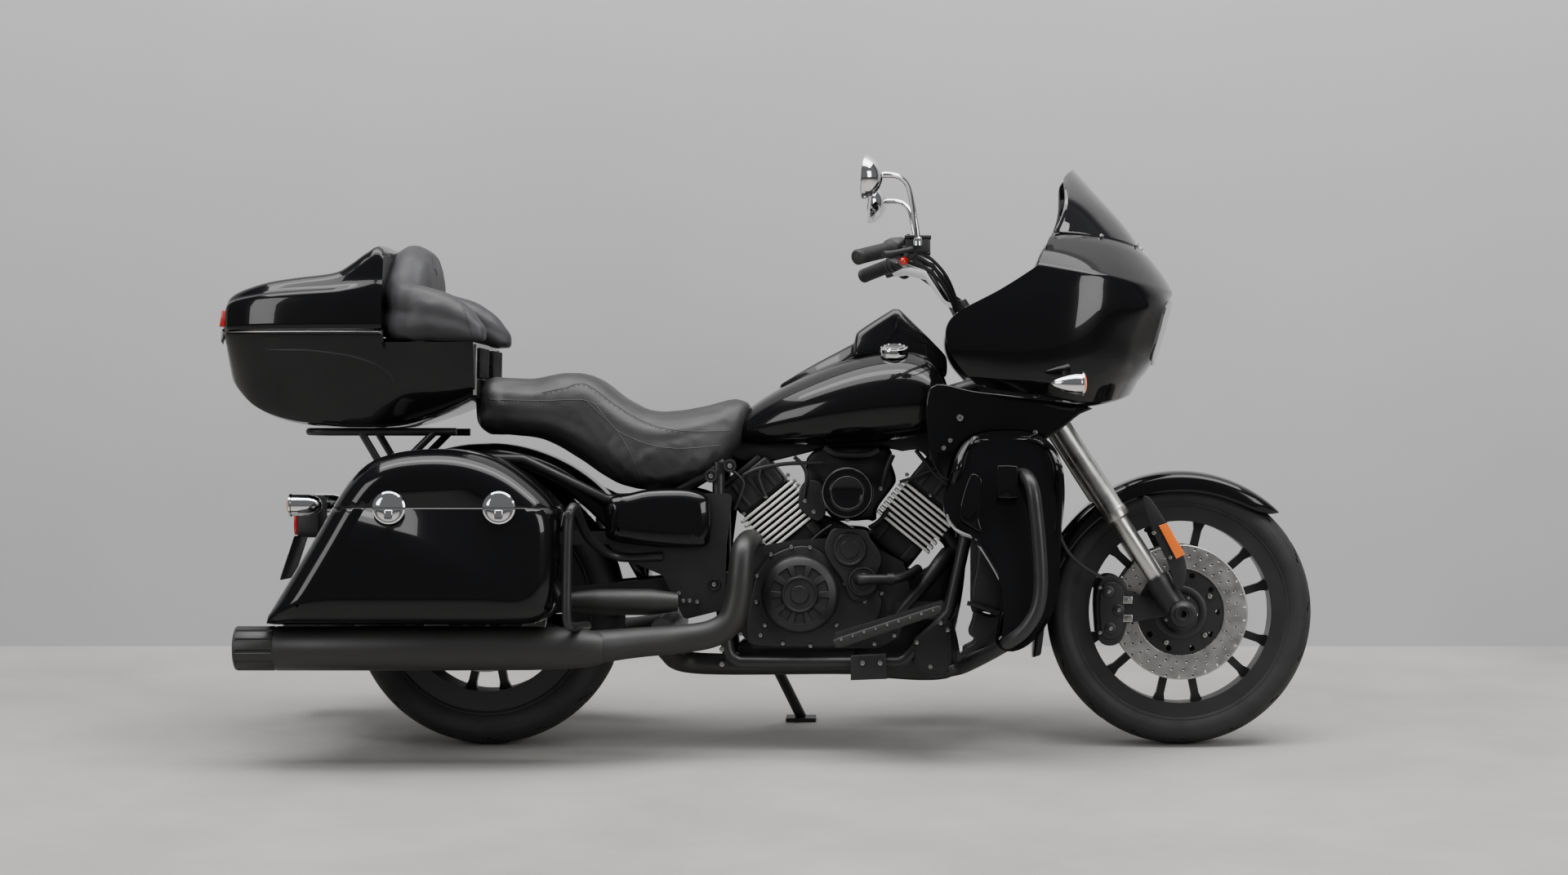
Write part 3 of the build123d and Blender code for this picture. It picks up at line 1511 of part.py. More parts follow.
# Rack
rack_z = top_case_base_z - rack_radius - seat_gap
rack_back_x = case_rear_x + top_case_length * 0.32
rack = tube(
    [
        (rack_back_x, 0, rack_z),
        (rack_back_x, -rack_spread, rack_z),
        (seat_back_x - rack_radius * 3, -rack_spread, rack_z),
    ],
    rack_radius, rack_radius * 4,
)
rack_leg_runs = [
    (rack_back_x + rack_spread, latch_back_x - rack_spread / 2, rear_tyre_radius * 2.05),
    (latch_back_x + rack_spread / 2, latch_back_x, rack_z - rack_spread / 2),
]
rack_side = rack
for top_x, foot_x, foot_z in rack_leg_runs:
    rack_side += rod((top_x, -rack_spread, rack_z), (foot_x, -rack_spread, foot_z), rack_radius)
luggage_rack = rack_side + mirrored(rack_side)
luggage_rack -= top_case_base
luggage_rack -= rear_fender
luggage_rack -= frame_tubes
luggage_rack -= seat
luggage_rack = luggage_rack.solids().sort_by(SortBy.VOLUME)[-1]

# Tail lamp, rear signals and plate holder
tail_block = span_box(
    rear_tail_x - signal_radius, rear_tail_x + signal_radius, -tail_lamp_half_width, tail_lamp_half_width,
    rear_tail_z, rear_tail_z + signal_radius * 4,
)
rear_signal_z = rear_tail_z + signal_radius * 3
tail_block += across(rear_tail_x, rear_signal_z, signal_radius / 3, -rear_signal_y, rear_signal_y)
for side in (-1, 1):
    tail_block += rod(
        (rear_tail_x - signal_length * 0.6, side * rear_signal_y, rear_signal_z),
        (rear_tail_x + signal_length * 0.4, side * rear_signal_y, rear_signal_z), signal_radius,
    )
tail_lamp = tail_block - rear_fender
tail_lamp = tail_lamp.solids().sort_by(SortBy.VOLUME)[-1]
holder_slope = radians(number_plate_slope_angle)
plate_top = (rear_tail_x - signal_radius, rear_tail_z)
plate_low = (
    plate_top[0] - number_plate_height * sin(holder_slope),
    plate_top[1] - number_plate_height * cos(holder_slope),
)
plate_holder = slab(
    [
        plate_top, (plate_top[0] - number_plate_thickness, plate_top[1]),
        (plate_low[0] - number_plate_thickness, plate_low[1]), plate_low,
    ],
    -number_plate_half_width, number_plate_half_width,
)
plate_holder += span_box(
    plate_top[0] - number_plate_thickness, rear_tail_x, -signal_radius, signal_radius,
    rear_tail_z - number_plate_thickness * 2, rear_tail_z,
)
plate_holder -= rear_fender
plate_holder = plate_holder.solids().sort_by(SortBy.VOLUME)[-1]

# Rear guards around the front of the bags
rear_guard = tube(
    [
        (pivot_x - guard_radius * 4, -plate_inner_y - plate_thickness, plate_low_z + plate_height * 0.5),
        (pivot_x - guard_radius * 19, -plate_inner_y - plate_thickness, plate_low_z + plate_height * 0.5),
        (pivot_x - guard_radius * 20, -rear_guard_y, plate_low_z + plate_height * 0.9),
        (pivot_x - guard_radius * 21, -rear_guard_y, plate_low_z),
        (pivot_x - guard_radius * 19, -upper_pipe_y - upper_pipe_radius, plate_low_z - rear_guard_radius),
    ],
    rear_guard_radius, rear_guard_radius * 2,
)
rear_guard -= [side_plates[1], bags[0], exhaust_pipes]
rear_guard = rear_guard.solids().sort_by(SortBy.VOLUME)[-1]

# Lower fairings
pod_shares = [
    (0.0, 0.60), (0.10, 0.86), (0.30, 1.0), (0.75, 0.98), (0.94, 0.86), (1.0, 0.70), (0.99, 0.50),
    (0.86, 0.30), (0.60, 0.0), (0.45, 0.02), (0.64, 0.22), (0.54, 0.38), (0.32, 0.52), (0.06, 0.57),
]
pod_outline = spread_points(pod_shares, pod_back_x, pod_length, pod_low_z, pod_height)
pod_raw = slab(pod_outline, -pod_inner_y - pod_width, -pod_inner_y)
pod_rim = pod_raw.faces().sort_by(Axis.Y)[0].edges()
pod = fillet(pod_rim, cover_round)
guard = tube(
    [
        (wheelbase * 0.69, -frame_tube_spread, pod_low_z + pod_height * 0.78),
        (wheelbase * 0.765, -guard_y - pod_width / 2, pod_low_z + pod_height * 0.78),
        (wheelbase * 0.772, -guard_y - pod_width / 2, pod_low_z + pod_height * 0.45),
        (wheelbase * 0.775, -guard_y - guard_radius, pod_low_z + pod_height * 0.2),
        (wheelbase * 0.742, -guard_y, pod_low_z),
        (wheelbase * 0.66, -frame_tube_spread, rail_z + frame_tube_radius),
    ],
    guard_radius, guard_radius * 1.8,
)
pod -= guard
pod -= radiator
pod = pod.solids().sort_by(SortBy.VOLUME)[-1]
guard -= frame_tubes
guard = guard.solids().sort_by(SortBy.VOLUME)[-1]
guards = [*pair(guard), *pair(rear_guard)]
pods = pair(pod)

# Front turn signals, each on a short stalk from the fairing
front_signal_x = fairing_back_x + fairing_length * 0.44
front_signal_z = fairing_base_z + signal_radius / 2
front_signal = rod(
    (front_signal_x, -front_signal_y, front_signal_z),
    (front_signal_x + signal_length, -front_signal_y, front_signal_z), signal_radius,
)
front_signal += across(
    front_signal_x + signal_length / 2, front_signal_z, signal_radius / 3,
    -front_signal_y, -fairing_half_width * 0.78,
)
front_signal -= fairing
front_signal = front_signal.solids().sort_by(SortBy.VOLUME)[-1]
front_signals = pair(front_signal)

# Floorboards
board = slab(
    [
        (board_back_x, board_back_z), (board_front_x, board_front_z),
        (board_front_x, board_front_z + board_thickness), (board_back_x, board_back_z + board_thickness),
    ],
    -board_inner_y - board_width, -board_inner_y,
)
board_arm_x = (board_back_x + board_front_x) / 2
board_arm_z = (board_back_z + board_front_z) / 2 + board_thickness / 2
board += across(board_arm_x, board_arm_z, board_thickness / 2, -board_inner_y, -case_half_width)
board -= frame_tubes
for cover in engine_covers:
    board -= cover
board = board.solids().sort_by(SortBy.VOLUME)[-1]
boards = pair(board)

# Lean the machine and centre its box on the origin
nodes = {
    "front_tyre": front_tyre,
    "front_wheel_rim": front_rim,
    "front_brake_discs": front_discs,
    "rear_tyre": rear_tyre,
    "rear_wheel_rim": rear_rim,
    "rear_brake_disc": rear_disc,
    "fork_lowers": fork_lowers,
    "fork_tubes": [*inner_tubes, *outer_tubes],
    "fork_clamps": fork_clamps,
    "front_calipers": calipers,
    "front_fender": front_fender,
    "brake_hoses": brake_hoses,
    "handlebar": handlebar,
    "hand_controls": [*controls, *grips],
    "mirrors": mirrors,
    "fairing": fairing,
    "headlamp": headlamp,
    "instrument_panel": instrument_panel,
    "windscreen": windscreen,
    "front_turn_signals": front_signals,
    "fuel_tank": tank,
    "tank_console": [console, fuel_cap],
    "seat": seat,
    "frame_tubes": frame_tubes,
    "frame_side_plates": side_plates,
    "side_covers": side_covers,
    "swingarm": swingarm,
    "rear_fender": rear_fender,
    "engine_case": engine_case,
    "engine_covers": [*engine_covers, air_cleaner],
    "cylinders": [cylinder_rear, cylinder_front, *heads],
    "radiator": radiator,
    "exhaust_pipes": exhaust_pipes,
    "mufflers": [muffler_right, muffler_left],
    "saddlebags": bags,
    "saddlebag_lid_right": bag_lids[0],
    "saddlebag_lid_left": bag_lids[1],
    "top_case_base": top_case_base,
    "top_case_lid": top_case_lid,
    "backrest_pad": backrest,
    "luggage_rack": luggage_rack,
    "tail_lamp": [tail_lamp, plate_holder],
    "lower_fairings": pods,
    "engine_guards": guards,
    "floorboards": boards,
    "side_stand": side_stand,
}


def solids_of(piece):
    pieces = piece if isinstance(piece, list) else [piece]
    found = []
    for entry in pieces:
        found.extend(entry.solids())
    return found


lean_turn = Rot(-lean_angle, 0, 0)
leaned = {name: [lean_turn * solid for solid in solids_of(piece)] for name, piece in nodes.items()}
whole = Compound([solid for solids in leaned.values() for solid in solids]).bounding_box()
centre_x = (whole.min.X + whole.max.X) / 2
centre_y = (whole.min.Y + whole.max.Y) / 2
to_origin = Pos(-centre_x, -centre_y, -whole.min.Z)
rest_pose = to_origin * Rot(-lean_angle, 0, 0)
os.makedirs("parts", exist_ok=True)
for name, solids in leaned.items():
    placed = [to_origin * solid for solid in solids]
    export_step(placed[0] if len(placed) == 1 else Compound(placed), f"parts/{name}.step")


def report_axis(name, spot, way):
    there = rest_pose * Pos(*spot)
    tip = rest_pose * Pos(*(Vector(*spot) + Vector(*way)))
    at = there.position
    axis = (tip.position - at).normalized()
    print(f"joint {name} {at.X:.4f} {at.Y:.4f} {at.Z:.4f} {axis.X:.6f} {axis.Y:.6f} {axis.Z:.6f}")


report_axis("steering", tuple(axis_foot), tuple(axis_up))
report_axis("front_wheel", tuple(front_axle), (0, 1, 0))
report_axis("rear_wheel", tuple(rear_axle), (0, 1, 0))
report_axis("side_stand", tuple(stand_pivot), tuple(stand_axis))
report_axis("top_case_lid", (hinge_x, 0, hinge_z), (0, 1, 0))
report_axis("saddlebag_lid_right", (0, -bag_hinge_y, bag_seam_z), (1, 0, 0))
report_axis("saddlebag_lid_left", (0, bag_hinge_y, bag_seam_z), (-1, 0, 0))
report_axis("axle_bore", (front_axle.X, -axle_end, front_axle.Z), (0, -1, 0))
report_axis("stand_foot", (stand_foot_x, stand_foot_y, ground_z), (0, sin(lean), -cos(lean)))
print("box", round(whole.size.X, 1), round(whole.size.Y, 1), round(whole.size.Z, 1))
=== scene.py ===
import bmesh
import bpy
import json
from math import asin, atan2, cos, radians, sin, tau
from mathutils import Matrix, Vector


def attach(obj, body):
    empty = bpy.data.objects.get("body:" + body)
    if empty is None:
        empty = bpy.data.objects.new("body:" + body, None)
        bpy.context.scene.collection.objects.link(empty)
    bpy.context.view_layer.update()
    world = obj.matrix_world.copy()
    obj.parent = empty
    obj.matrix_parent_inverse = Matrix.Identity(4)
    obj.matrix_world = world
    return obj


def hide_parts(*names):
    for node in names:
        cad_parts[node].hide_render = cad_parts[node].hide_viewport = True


# Touring motorcycle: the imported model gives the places, this file gives the looks.
# Pieces are drawn with the machine upright, X forward from the rear axle, Y left, Z up from the road,
# in metres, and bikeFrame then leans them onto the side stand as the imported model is.

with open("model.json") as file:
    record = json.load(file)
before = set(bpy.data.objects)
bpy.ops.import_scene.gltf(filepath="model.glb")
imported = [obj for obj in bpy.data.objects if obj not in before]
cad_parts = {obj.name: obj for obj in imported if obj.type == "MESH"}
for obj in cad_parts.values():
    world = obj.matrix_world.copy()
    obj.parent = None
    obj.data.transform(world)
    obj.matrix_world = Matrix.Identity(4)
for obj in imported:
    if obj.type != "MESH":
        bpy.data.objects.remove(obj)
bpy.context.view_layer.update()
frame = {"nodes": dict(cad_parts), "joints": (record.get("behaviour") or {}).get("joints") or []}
print("frame loaded")

# Middles of the wheels in the upright machine, in millimetres
axles = {"front": (1665, 0, 319.3), "rear": (0, 0, 327.6)}
jointAt = {joint["child"]: joint for joint in frame["joints"]}
rearPlace = Vector(jointAt["rear_wheel"]["pos_m"])
leanAngle = asin(-jointAt["rear_wheel"]["axis"][2])
leanTurn = Matrix.Rotation(-leanAngle, 4, "X")
bikeFrame = Matrix.Translation(rearPlace - leanTurn @ Vector((0, 0, axles["rear"][2] * 0.001))) @ leanTurn

# Shader helpers


def groupOf(name, inputs, outputs):
    group = bpy.data.node_groups.new(name, "ShaderNodeTree")
    for label, kind, value in inputs:
        socket = group.interface.new_socket(label, in_out="INPUT", socket_type=kind)
        if value is not None:
            socket.default_value = value
    for label, kind in outputs:
        group.interface.new_socket(label, in_out="OUTPUT", socket_type=kind)
    entry = group.nodes.new("NodeGroupInput")
    leave = group.nodes.new("NodeGroupOutput")
    return group, entry, leave


def addNode(tree, kind, **values):
    node = tree.nodes.new(kind)
    for label, value in values.items():
        if hasattr(node, label):
            setattr(node, label, value)
        else:
            node.inputs[label].default_value = value
    return node


# Soft smudges: a roughness and a mask that drift over the surface
def makeSmudges():
    group, entry, leave = groupOf(
        "smudges",
        [("Vector", "NodeSocketVector", None), ("Scale", "NodeSocketFloat", 6.0),
         ("Lowest", "NodeSocketFloat", 0.2), ("Highest", "NodeSocketFloat", 0.3)],
        [("Roughness", "NodeSocketFloat"), ("Mask", "NodeSocketFloat")],
    )
    cloud = addNode(group, "ShaderNodeTexNoise", Detail=6.0, Roughness=0.62)
    spread = addNode(group, "ShaderNodeMapRange")
    spread.inputs["From Min"].default_value = 0.34
    spread.inputs["From Max"].default_value = 0.66
    link = group.links.new
    link(entry.outputs["Vector"], cloud.inputs["Vector"])
    link(entry.outputs["Scale"], cloud.inputs["Scale"])
    link(cloud.outputs[0], spread.inputs["Value"])
    link(entry.outputs["Lowest"], spread.inputs["To Min"])
    link(entry.outputs["Highest"], spread.inputs["To Max"])
    link(spread.outputs["Result"], leave.inputs["Roughness"])
    link(cloud.outputs[0], leave.inputs["Mask"])
    return group


# Moulded or sprayed grain: fine cells under a little noise, as a height
def makeGrain():
    group, entry, leave = groupOf(
        "grain",
        [("Vector", "NodeSocketVector", None), ("Scale", "NodeSocketFloat", 900.0),
         ("Cells", "NodeSocketFloat", 0.5)],
        [("Height", "NodeSocketFloat")],
    )
    cells = addNode(group, "ShaderNodeTexVoronoi", feature="F1")
    noise = addNode(group, "ShaderNodeTexNoise", Detail=3.0)
    blend = addNode(group, "ShaderNodeMix", data_type="FLOAT")
    link = group.links.new
    for texture in (cells, noise):
        link(entry.outputs["Vector"], texture.inputs["Vector"])
        link(entry.outputs["Scale"], texture.inputs["Scale"])
    link(entry.outputs["Cells"], blend.inputs["Factor"])
    link(noise.outputs[0], blend.inputs["A"])
    link(cells.outputs["Distance"], blend.inputs["B"])
    link(blend.outputs["Result"], leave.inputs["Height"])
    return group


smudges = makeSmudges()
grain = makeGrain()


def makeFinish(name, colour, metallic, roughness, smudge, grainOf=None, **sockets):
    # smudge: scale, lowest and highest roughness; grainOf: scale, share of cells, strength, depth
    made = bpy.data.materials.new(name)
    made.use_nodes = True
    tree = made.node_tree
    shader = tree.nodes["Principled BSDF"]
    shader.inputs["Base Color"].default_value = (*colour, 1)
    shader.inputs["Metallic"].default_value = metallic
    shader.inputs["Roughness"].default_value = roughness
    for socket, value in sockets.items():
        shader.inputs[socket].default_value = value
    place = addNode(tree, "ShaderNodeTexCoord")
    marks = addNode(tree, "ShaderNodeGroup", node_tree=smudges)
    for socket, value in zip(("Scale", "Lowest", "Highest"), smudge):
        marks.inputs[socket].default_value = value
    tree.links.new(place.outputs["Object"], marks.inputs["Vector"])
    tree.links.new(marks.outputs["Roughness"], shader.inputs["Roughness"])
    if grainOf:
        scale, cells, strength, depth = grainOf
        texture = addNode(tree, "ShaderNodeGroup", node_tree=grain)
        texture.inputs["Scale"].default_value = scale
        texture.inputs["Cells"].default_value = cells
        bump = addNode(tree, "ShaderNodeBump", Strength=strength, Distance=depth)
        tree.links.new(place.outputs["Object"], texture.inputs["Vector"])
        tree.links.new(texture.outputs["Height"], bump.inputs["Height"])
        tree.links.new(bump.outputs["Normal"], shader.inputs["Normal"])
    return made


lensCoat = {"Coat Weight": 0.7, "Coat Roughness": 0.05}
paintCoat = {"IOR": 1.18, "Coat Weight": 0.62, "Coat Roughness": 0.02, "Coat IOR": 1.42}
paintBlack = makeFinish(
    "paintBlack", (0.0035, 0.0035, 0.004), 0.0, 0.2,
    (3.0, 0.14, 0.24), (420.0, 0.0, 0.03, 0.0004), **paintCoat,
)
satinBlack = makeFinish(
    "satinBlack", (0.011, 0.011, 0.012), 0.0, 0.42,
    (9.0, 0.34, 0.46), (1400.0, 0.3, 0.12, 0.0003),
)
castBlack = makeFinish(
    "castBlack", (0.013, 0.013, 0.014), 0.2, 0.5,
    (14.0, 0.38, 0.56), (700.0, 0.5, 0.22, 0.0005),
)
heatBlack = makeFinish(
    "heatBlack", (0.013, 0.0125, 0.012), 0.0, 0.5,
    (5.0, 0.42, 0.56), (1100.0, 0.4, 0.15, 0.0003),
)
mouldedBlack = makeFinish(
    "mouldedBlack", (0.014, 0.014, 0.015), 0.0, 0.55,
    (11.0, 0.46, 0.62), (1000.0, 0.8, 0.2, 0.0004),
)
hoseRubber = makeFinish(
    "hoseRubber", (0.012, 0.012, 0.012), 0.0, 0.6,
    (20.0, 0.5, 0.7), (1500.0, 0.3, 0.15, 0.0003),
)
speakerBlack = makeFinish(
    "speakerBlack", (0.003, 0.003, 0.003), 0.0, 0.85,
    (20.0, 0.6, 0.8), (240.0, 1.0, 0.9, 0.002), IOR=1.2,
)
tyreRubber = makeFinish(
    "tyreRubber", (0.011, 0.011, 0.0115), 0.0, 0.72,
    (12.0, 0.62, 0.82), (900.0, 0.4, 0.25, 0.0005),
)
groundSteel = makeFinish(
    "groundSteel", (0.42, 0.41, 0.40), 1.0, 0.35,
    (30.0, 0.26, 0.42), (260.0, 0.0, 0.1, 0.0003),
)
brushedSteel = makeFinish(
    "brushedSteel", (0.50, 0.49, 0.48), 1.0, 0.32,
    (26.0, 0.26, 0.38), (340.0, 0.0, 0.06, 0.0002),
)
brightChrome = makeFinish("brightChrome", (0.80, 0.80, 0.81), 1.0, 0.05, (8.0, 0.03, 0.08))
finAlloy = makeFinish(
    "finAlloy", (0.80, 0.79, 0.77), 0.25, 0.34,
    (40.0, 0.24, 0.36), (500.0, 0.0, 0.1, 0.0002),
)
seatLeather = makeFinish(
    "seatLeather", (0.014, 0.014, 0.015), 0.0, 0.48,
    (7.0, 0.42, 0.56), (520.0, 0.85, 0.35, 0.0006),
)
padVinyl = makeFinish(
    "padVinyl", (0.022, 0.022, 0.024), 0.0, 0.5,
    (6.0, 0.46, 0.58), (560.0, 0.85, 0.3, 0.0006),
)
tintedSheet = makeFinish(
    "tintedSheet", (0.02, 0.02, 0.022), 0.0, 0.04,
    (4.0, 0.03, 0.07), **{"Transmission Weight": 0.55, "IOR": 1.46, "Coat Weight": 0.6,
                          "Coat Roughness": 0.02},
)
clearLens = makeFinish(
    "clearLens", (0.85, 0.87, 0.88), 0.0, 0.03,
    (6.0, 0.02, 0.06), **{"Transmission Weight": 0.85, "IOR": 1.45},
)
amberLens = makeFinish(
    "amberLens", (0.85, 0.16, 0.01), 0.0, 0.15,
    (20.0, 0.1, 0.25), (330.0, 1.0, 0.4, 0.0008), **lensCoat,
)
redLens = makeFinish(
    "redLens", (0.45, 0.01, 0.008), 0.0, 0.15,
    (20.0, 0.1, 0.25), (330.0, 1.0, 0.4, 0.0008), **lensCoat,
)
boltSteel = makeFinish(
    "boltSteel", (0.36, 0.35, 0.34), 1.0, 0.3,
    (60.0, 0.22, 0.4), (900.0, 0.2, 0.1, 0.0002),
)

# CAD nodes that keep their own shape: the finish of each
nodeFinish = {
    "fairing": paintBlack, "headlamp": clearLens, "instrument_panel": mouldedBlack, "windscreen": tintedSheet,
    "front_turn_signals": brightChrome, "fuel_tank": paintBlack, "tank_console": paintBlack,
    "seat": seatLeather, "frame_tubes": satinBlack, "frame_side_plates": satinBlack,
    "side_covers": paintBlack, "swingarm": satinBlack, "rear_fender": paintBlack, "engine_case": castBlack,
    "engine_covers": castBlack, "cylinders": castBlack, "radiator": mouldedBlack, "exhaust_pipes": heatBlack,
    "mufflers": heatBlack, "saddlebags": paintBlack, "top_case_base": paintBlack, "luggage_rack": satinBlack,
    "tail_lamp": mouldedBlack, "lower_fairings": paintBlack, "engine_guards": satinBlack,
    "floorboards": satinBlack, "fork_lowers": castBlack, "fork_tubes": brushedSteel, "fork_clamps": castBlack,
    "front_calipers": castBlack, "front_fender": paintBlack, "brake_hoses": hoseRubber,
    "handlebar": brightChrome, "hand_controls": mouldedBlack, "mirrors": brightChrome,
    "front_tyre": tyreRubber, "front_wheel_rim": satinBlack, "front_brake_discs": groundSteel,
    "rear_tyre": tyreRubber, "rear_wheel_rim": satinBlack, "rear_brake_disc": groundSteel,
    "side_stand": satinBlack, "top_case_lid": paintBlack, "backrest_pad": padVinyl,
    "saddlebag_lid_right": paintBlack, "saddlebag_lid_left": paintBlack,
}
for name, material in nodeFinish.items():
    slots = frame["nodes"][name].data.materials
    for number in range(len(slots)):
        slots[number] = material
print("finishes made")

# Modelling helpers: everything is typed in millimetres of the upright machine


def mm(*numbers):
    return Vector([number * 0.001 for number in numbers])


def splineAt(points, spots, t):
    a, b, c, d = [points[spot] for spot in spots]
    bend = (2 * a - 5 * b + 4 * c - d) * t ** 2 + (3 * b - a - 3 * c + d) * t ** 3
    return 0.5 * (2 * b + (c - a) * t + bend)


def smoothLine(points, count, closed=False):
    # Evenly spaced points on a smooth line through the given ones
    size = len(points)
    steps = 12
    dense = []
    for number in range(size if closed else size - 1):
        near = range(number - 1, number + 3)
        spots = [spot % size if closed else min(max(spot, 0), size - 1) for spot in near]
        dense += [splineAt(points, spots, step / steps) for step in range(steps)]
    dense.append(points[0] if closed else points[-1])
    reach = [0.0]
    for a, b in zip(dense, dense[1:]):
        reach.append(reach[-1] + (b - a).length)
    line, at = [], 0
    for number in range(count):
        want = reach[-1] * number / (count if closed else count - 1)
        while at < len(dense) - 2 and reach[at + 1] < want:
            at += 1
        part = (want - reach[at]) / max(reach[at + 1] - reach[at], 1e-9)
        line.append(dense[at].lerp(dense[at + 1], min(part, 1.0)))
    return line


def growRings(bm, rings, closed=True):
    # The first ring is drawn, then each next one is extruded from the last and put in its place
    ring = [bm.verts.new(place) for place in rings[0]]
    grown = [ring]
    pairs = list(zip(ring, ring[1:] + ring[:1] if closed else ring[1:]))
    edges = [bm.edges.new(pair) for pair in pairs]
    for places in rings[1:]:
        made = bmesh.ops.extrude_edge_only(bm, edges=edges)["geom"]
        fresh = {item for item in made if isinstance(item, bmesh.types.BMVert)}
        nexts = [[edge.other_vert(vert) for edge in vert.link_edges] for vert in ring]
        ring = [next(vert for vert in near if vert in fresh) for near in nexts]
        for vert, place in zip(ring, places):
            vert.co = place
        edges = [bm.edges.get(pair) for pair in zip(ring, ring[1:] + ring[:1] if closed else ring[1:])]
        grown.append(ring)
    return grown


def capRing(bm, ring):
    return bmesh.ops.contextual_create(bm, geom=ring)["faces"][0]


def capEnds(bm, grown):
    for ring in (grown[0], grown[-1]):
        capRing(bm, ring)


def cornerFace(grown, row, column):
    # The face between four places of a grown net
    size = len(grown[row])
    corners = {grown[r][c % size] for r in (row, row + 1) for c in (column, column + 1)}
    return [face for face in grown[row][column].link_faces if set(face.verts) == corners]


def newVerts(made):
    return [item for item in made["geom"] if isinstance(item, bmesh.types.BMVert)]


def thicken(bm, places, move):
    # A closed outline made solid: its face is drawn, then a copy is moved and joined to it
    face = bm.faces.new([bm.verts.new(place) for place in places])
    made = bmesh.ops.extrude_face_region(bm, geom=[face])
    bmesh.ops.translate(bm, verts=newVerts(made), vec=move)


def soften(bm, edges, offset, segments=3):
    bmesh.ops.bevel(
        bm, geom=edges, offset=offset, offset_type="OFFSET", segments=segments, profile=0.5, affect="EDGES",
        material=-1,
    )


def softenRims(bm, along, offset):
    # The edges of the two faces that look along one axis
    rims = [edge for edge in bm.edges if len({round(vert.co[along], 6) for vert in edge.verts}) == 1]
    soften(bm, rims, offset)


def softBox(bm, place, offset, segments=3):
    made = bmesh.ops.create_cube(bm, size=1.0, matrix=place)
    soften(bm, list({edge for vert in made["verts"] for edge in vert.link_edges}), offset, segments)


def cutBehind(bm, place, normal, clear=True):
    everything = bm.verts[:] + bm.edges[:] + bm.faces[:]
    bmesh.ops.bisect_plane(bm, geom=everything, plane_co=place, plane_no=normal, clear_inner=clear)


def creaseBetween(bm, verts, weight):
    layer = bm.edges.layers.float.get("crease_edge") or bm.edges.layers.float.new("crease_edge")
    for a, b in zip(verts, verts[1:]):
        bm.edges.get((a, b))[layer] = weight


def joinInto(bm, part):
    mesh = bpy.data.meshes.new("part")
    bmesh.ops.recalc_face_normals(part, faces=part.faces)
    part.to_mesh(mesh)
    part.free()
    bm.from_mesh(mesh)
    bpy.data.meshes.remove(mesh)


def addModifier(piece, kind, **values):
    modifier = piece.modifiers.new(kind.lower(), kind)
    for label, value in values.items():
        setattr(modifier, label, value)
    return modifier


def finishPiece(name, bm, material, body, stands=(), smooth=0, wall=0.0, sharp=32.0):
    bmesh.ops.transform(bm, matrix=bikeFrame, verts=bm.verts)
    bmesh.ops.remove_doubles(bm, verts=bm.verts, dist=1e-6)
    bmesh.ops.recalc_face_normals(bm, faces=bm.faces)
    mesh = bpy.data.meshes.new(name)
    bm.to_mesh(mesh)
    bm.free()
    mesh.materials.append(material)
    mesh.shade_smooth()
    mesh.set_sharp_from_angle(angle=radians(sharp))
    piece = bpy.data.objects.new(name, mesh)
    bpy.context.collection.objects.link(piece)
    if smooth:
        addModifier(piece, "SUBSURF", levels=smooth, render_levels=smooth)
    if wall:
        addModifier(piece, "SOLIDIFY", thickness=wall, offset=-1.0)
    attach(piece, body)
    if stands:
        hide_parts(*stands)
    return piece


def mirrored(points):
    return [Vector((p.x, -p.y, p.z)) for p in reversed(points)]


def bothSides(points):
    # A line from the right edge to the middle, carried on to the left edge
    return points + mirrored(points[:-1])


def outwards(piece):
    # An open sheet is turned so that its faces look away from the machine's middle
    mesh = piece.data
    middle = sum((vert.co for vert in mesh.vertices), Vector()) / len(mesh.vertices)
    turn = sum((face.center - middle).dot(face.normal) * face.area for face in mesh.polygons)
    if turn < 0:
        mesh.flip_normals()


# Fairing: rows from the lower lip up to the screen, each from the right rear lip round to the nose
fairing = {"wall": 0.006, "lipWidth": 24.0, "lipBack": 4.0, "lampRows": (3, 6), "lampFrom": 6}
fairingRows = [
    [(1172, -286, 862), (1245, -306, 842), (1330, -306, 838), (1418, -284, 812), (1492, -220, 820),
     (1540, -120, 838), (1552, 0, 846)],
    [(1152, -342, 878), (1240, -356, 872), (1330, -352, 868), (1425, -326, 862), (1508, -254, 866),
     (1556, -150, 872), (1572, 0, 878)],
    [(1136, -348, 896), (1232, -364, 892), (1335, -362, 890), (1435, -334, 890), (1519, -264, 896),
     (1572, -160, 890), (1586, 0, 893)],
    [(1110, -352, 925), (1225, -369, 930), (1340, -368, 930), (1440, -340, 930), (1524, -270, 930),
     (1586, -172, 918), (1602, 0, 912)],
    [(1092, -352, 978), (1225, -373, 984), (1345, -371, 986), (1448, -343, 984), (1531, -274, 980),
     (1602, -182, 968), (1620, 0, 960)],
    [(1110, -350, 1028), (1228, -371, 1036), (1352, -369, 1042), (1458, -340, 1042), (1558, -272, 1030),
     (1616, -186, 1024), (1636, 0, 1016)],
    [(1212, -362, 1070), (1288, -366, 1080), (1374, -362, 1088), (1470, -334, 1084), (1592, -250, 1062),
     (1628, -178, 1066), (1648, 0, 1062)],
    [(1313, -352, 1138), (1362, -349, 1132), (1418, -343, 1123), (1492, -318, 1110), (1568, -254, 1097),
     (1628, -160, 1087), (1662, 0, 1086)],
    [(1328, -318, 1174), (1375, -310, 1170), (1432, -298, 1162), (1496, -270, 1150), (1562, -208, 1137),
     (1614, -128, 1127), (1640, 0, 1124)],
    [(1342, -266, 1207), (1388, -255, 1206), (1440, -238, 1200), (1494, -210, 1192), (1544, -160, 1182),
     (1584, -94, 1172), (1604, 0, 1166)],
    [(1352, -232, 1220), (1398, -218, 1221), (1450, -198, 1217), (1500, -168, 1209), (1542, -122, 1200),
     (1566, -66, 1194), (1574, 0, 1191)],
]


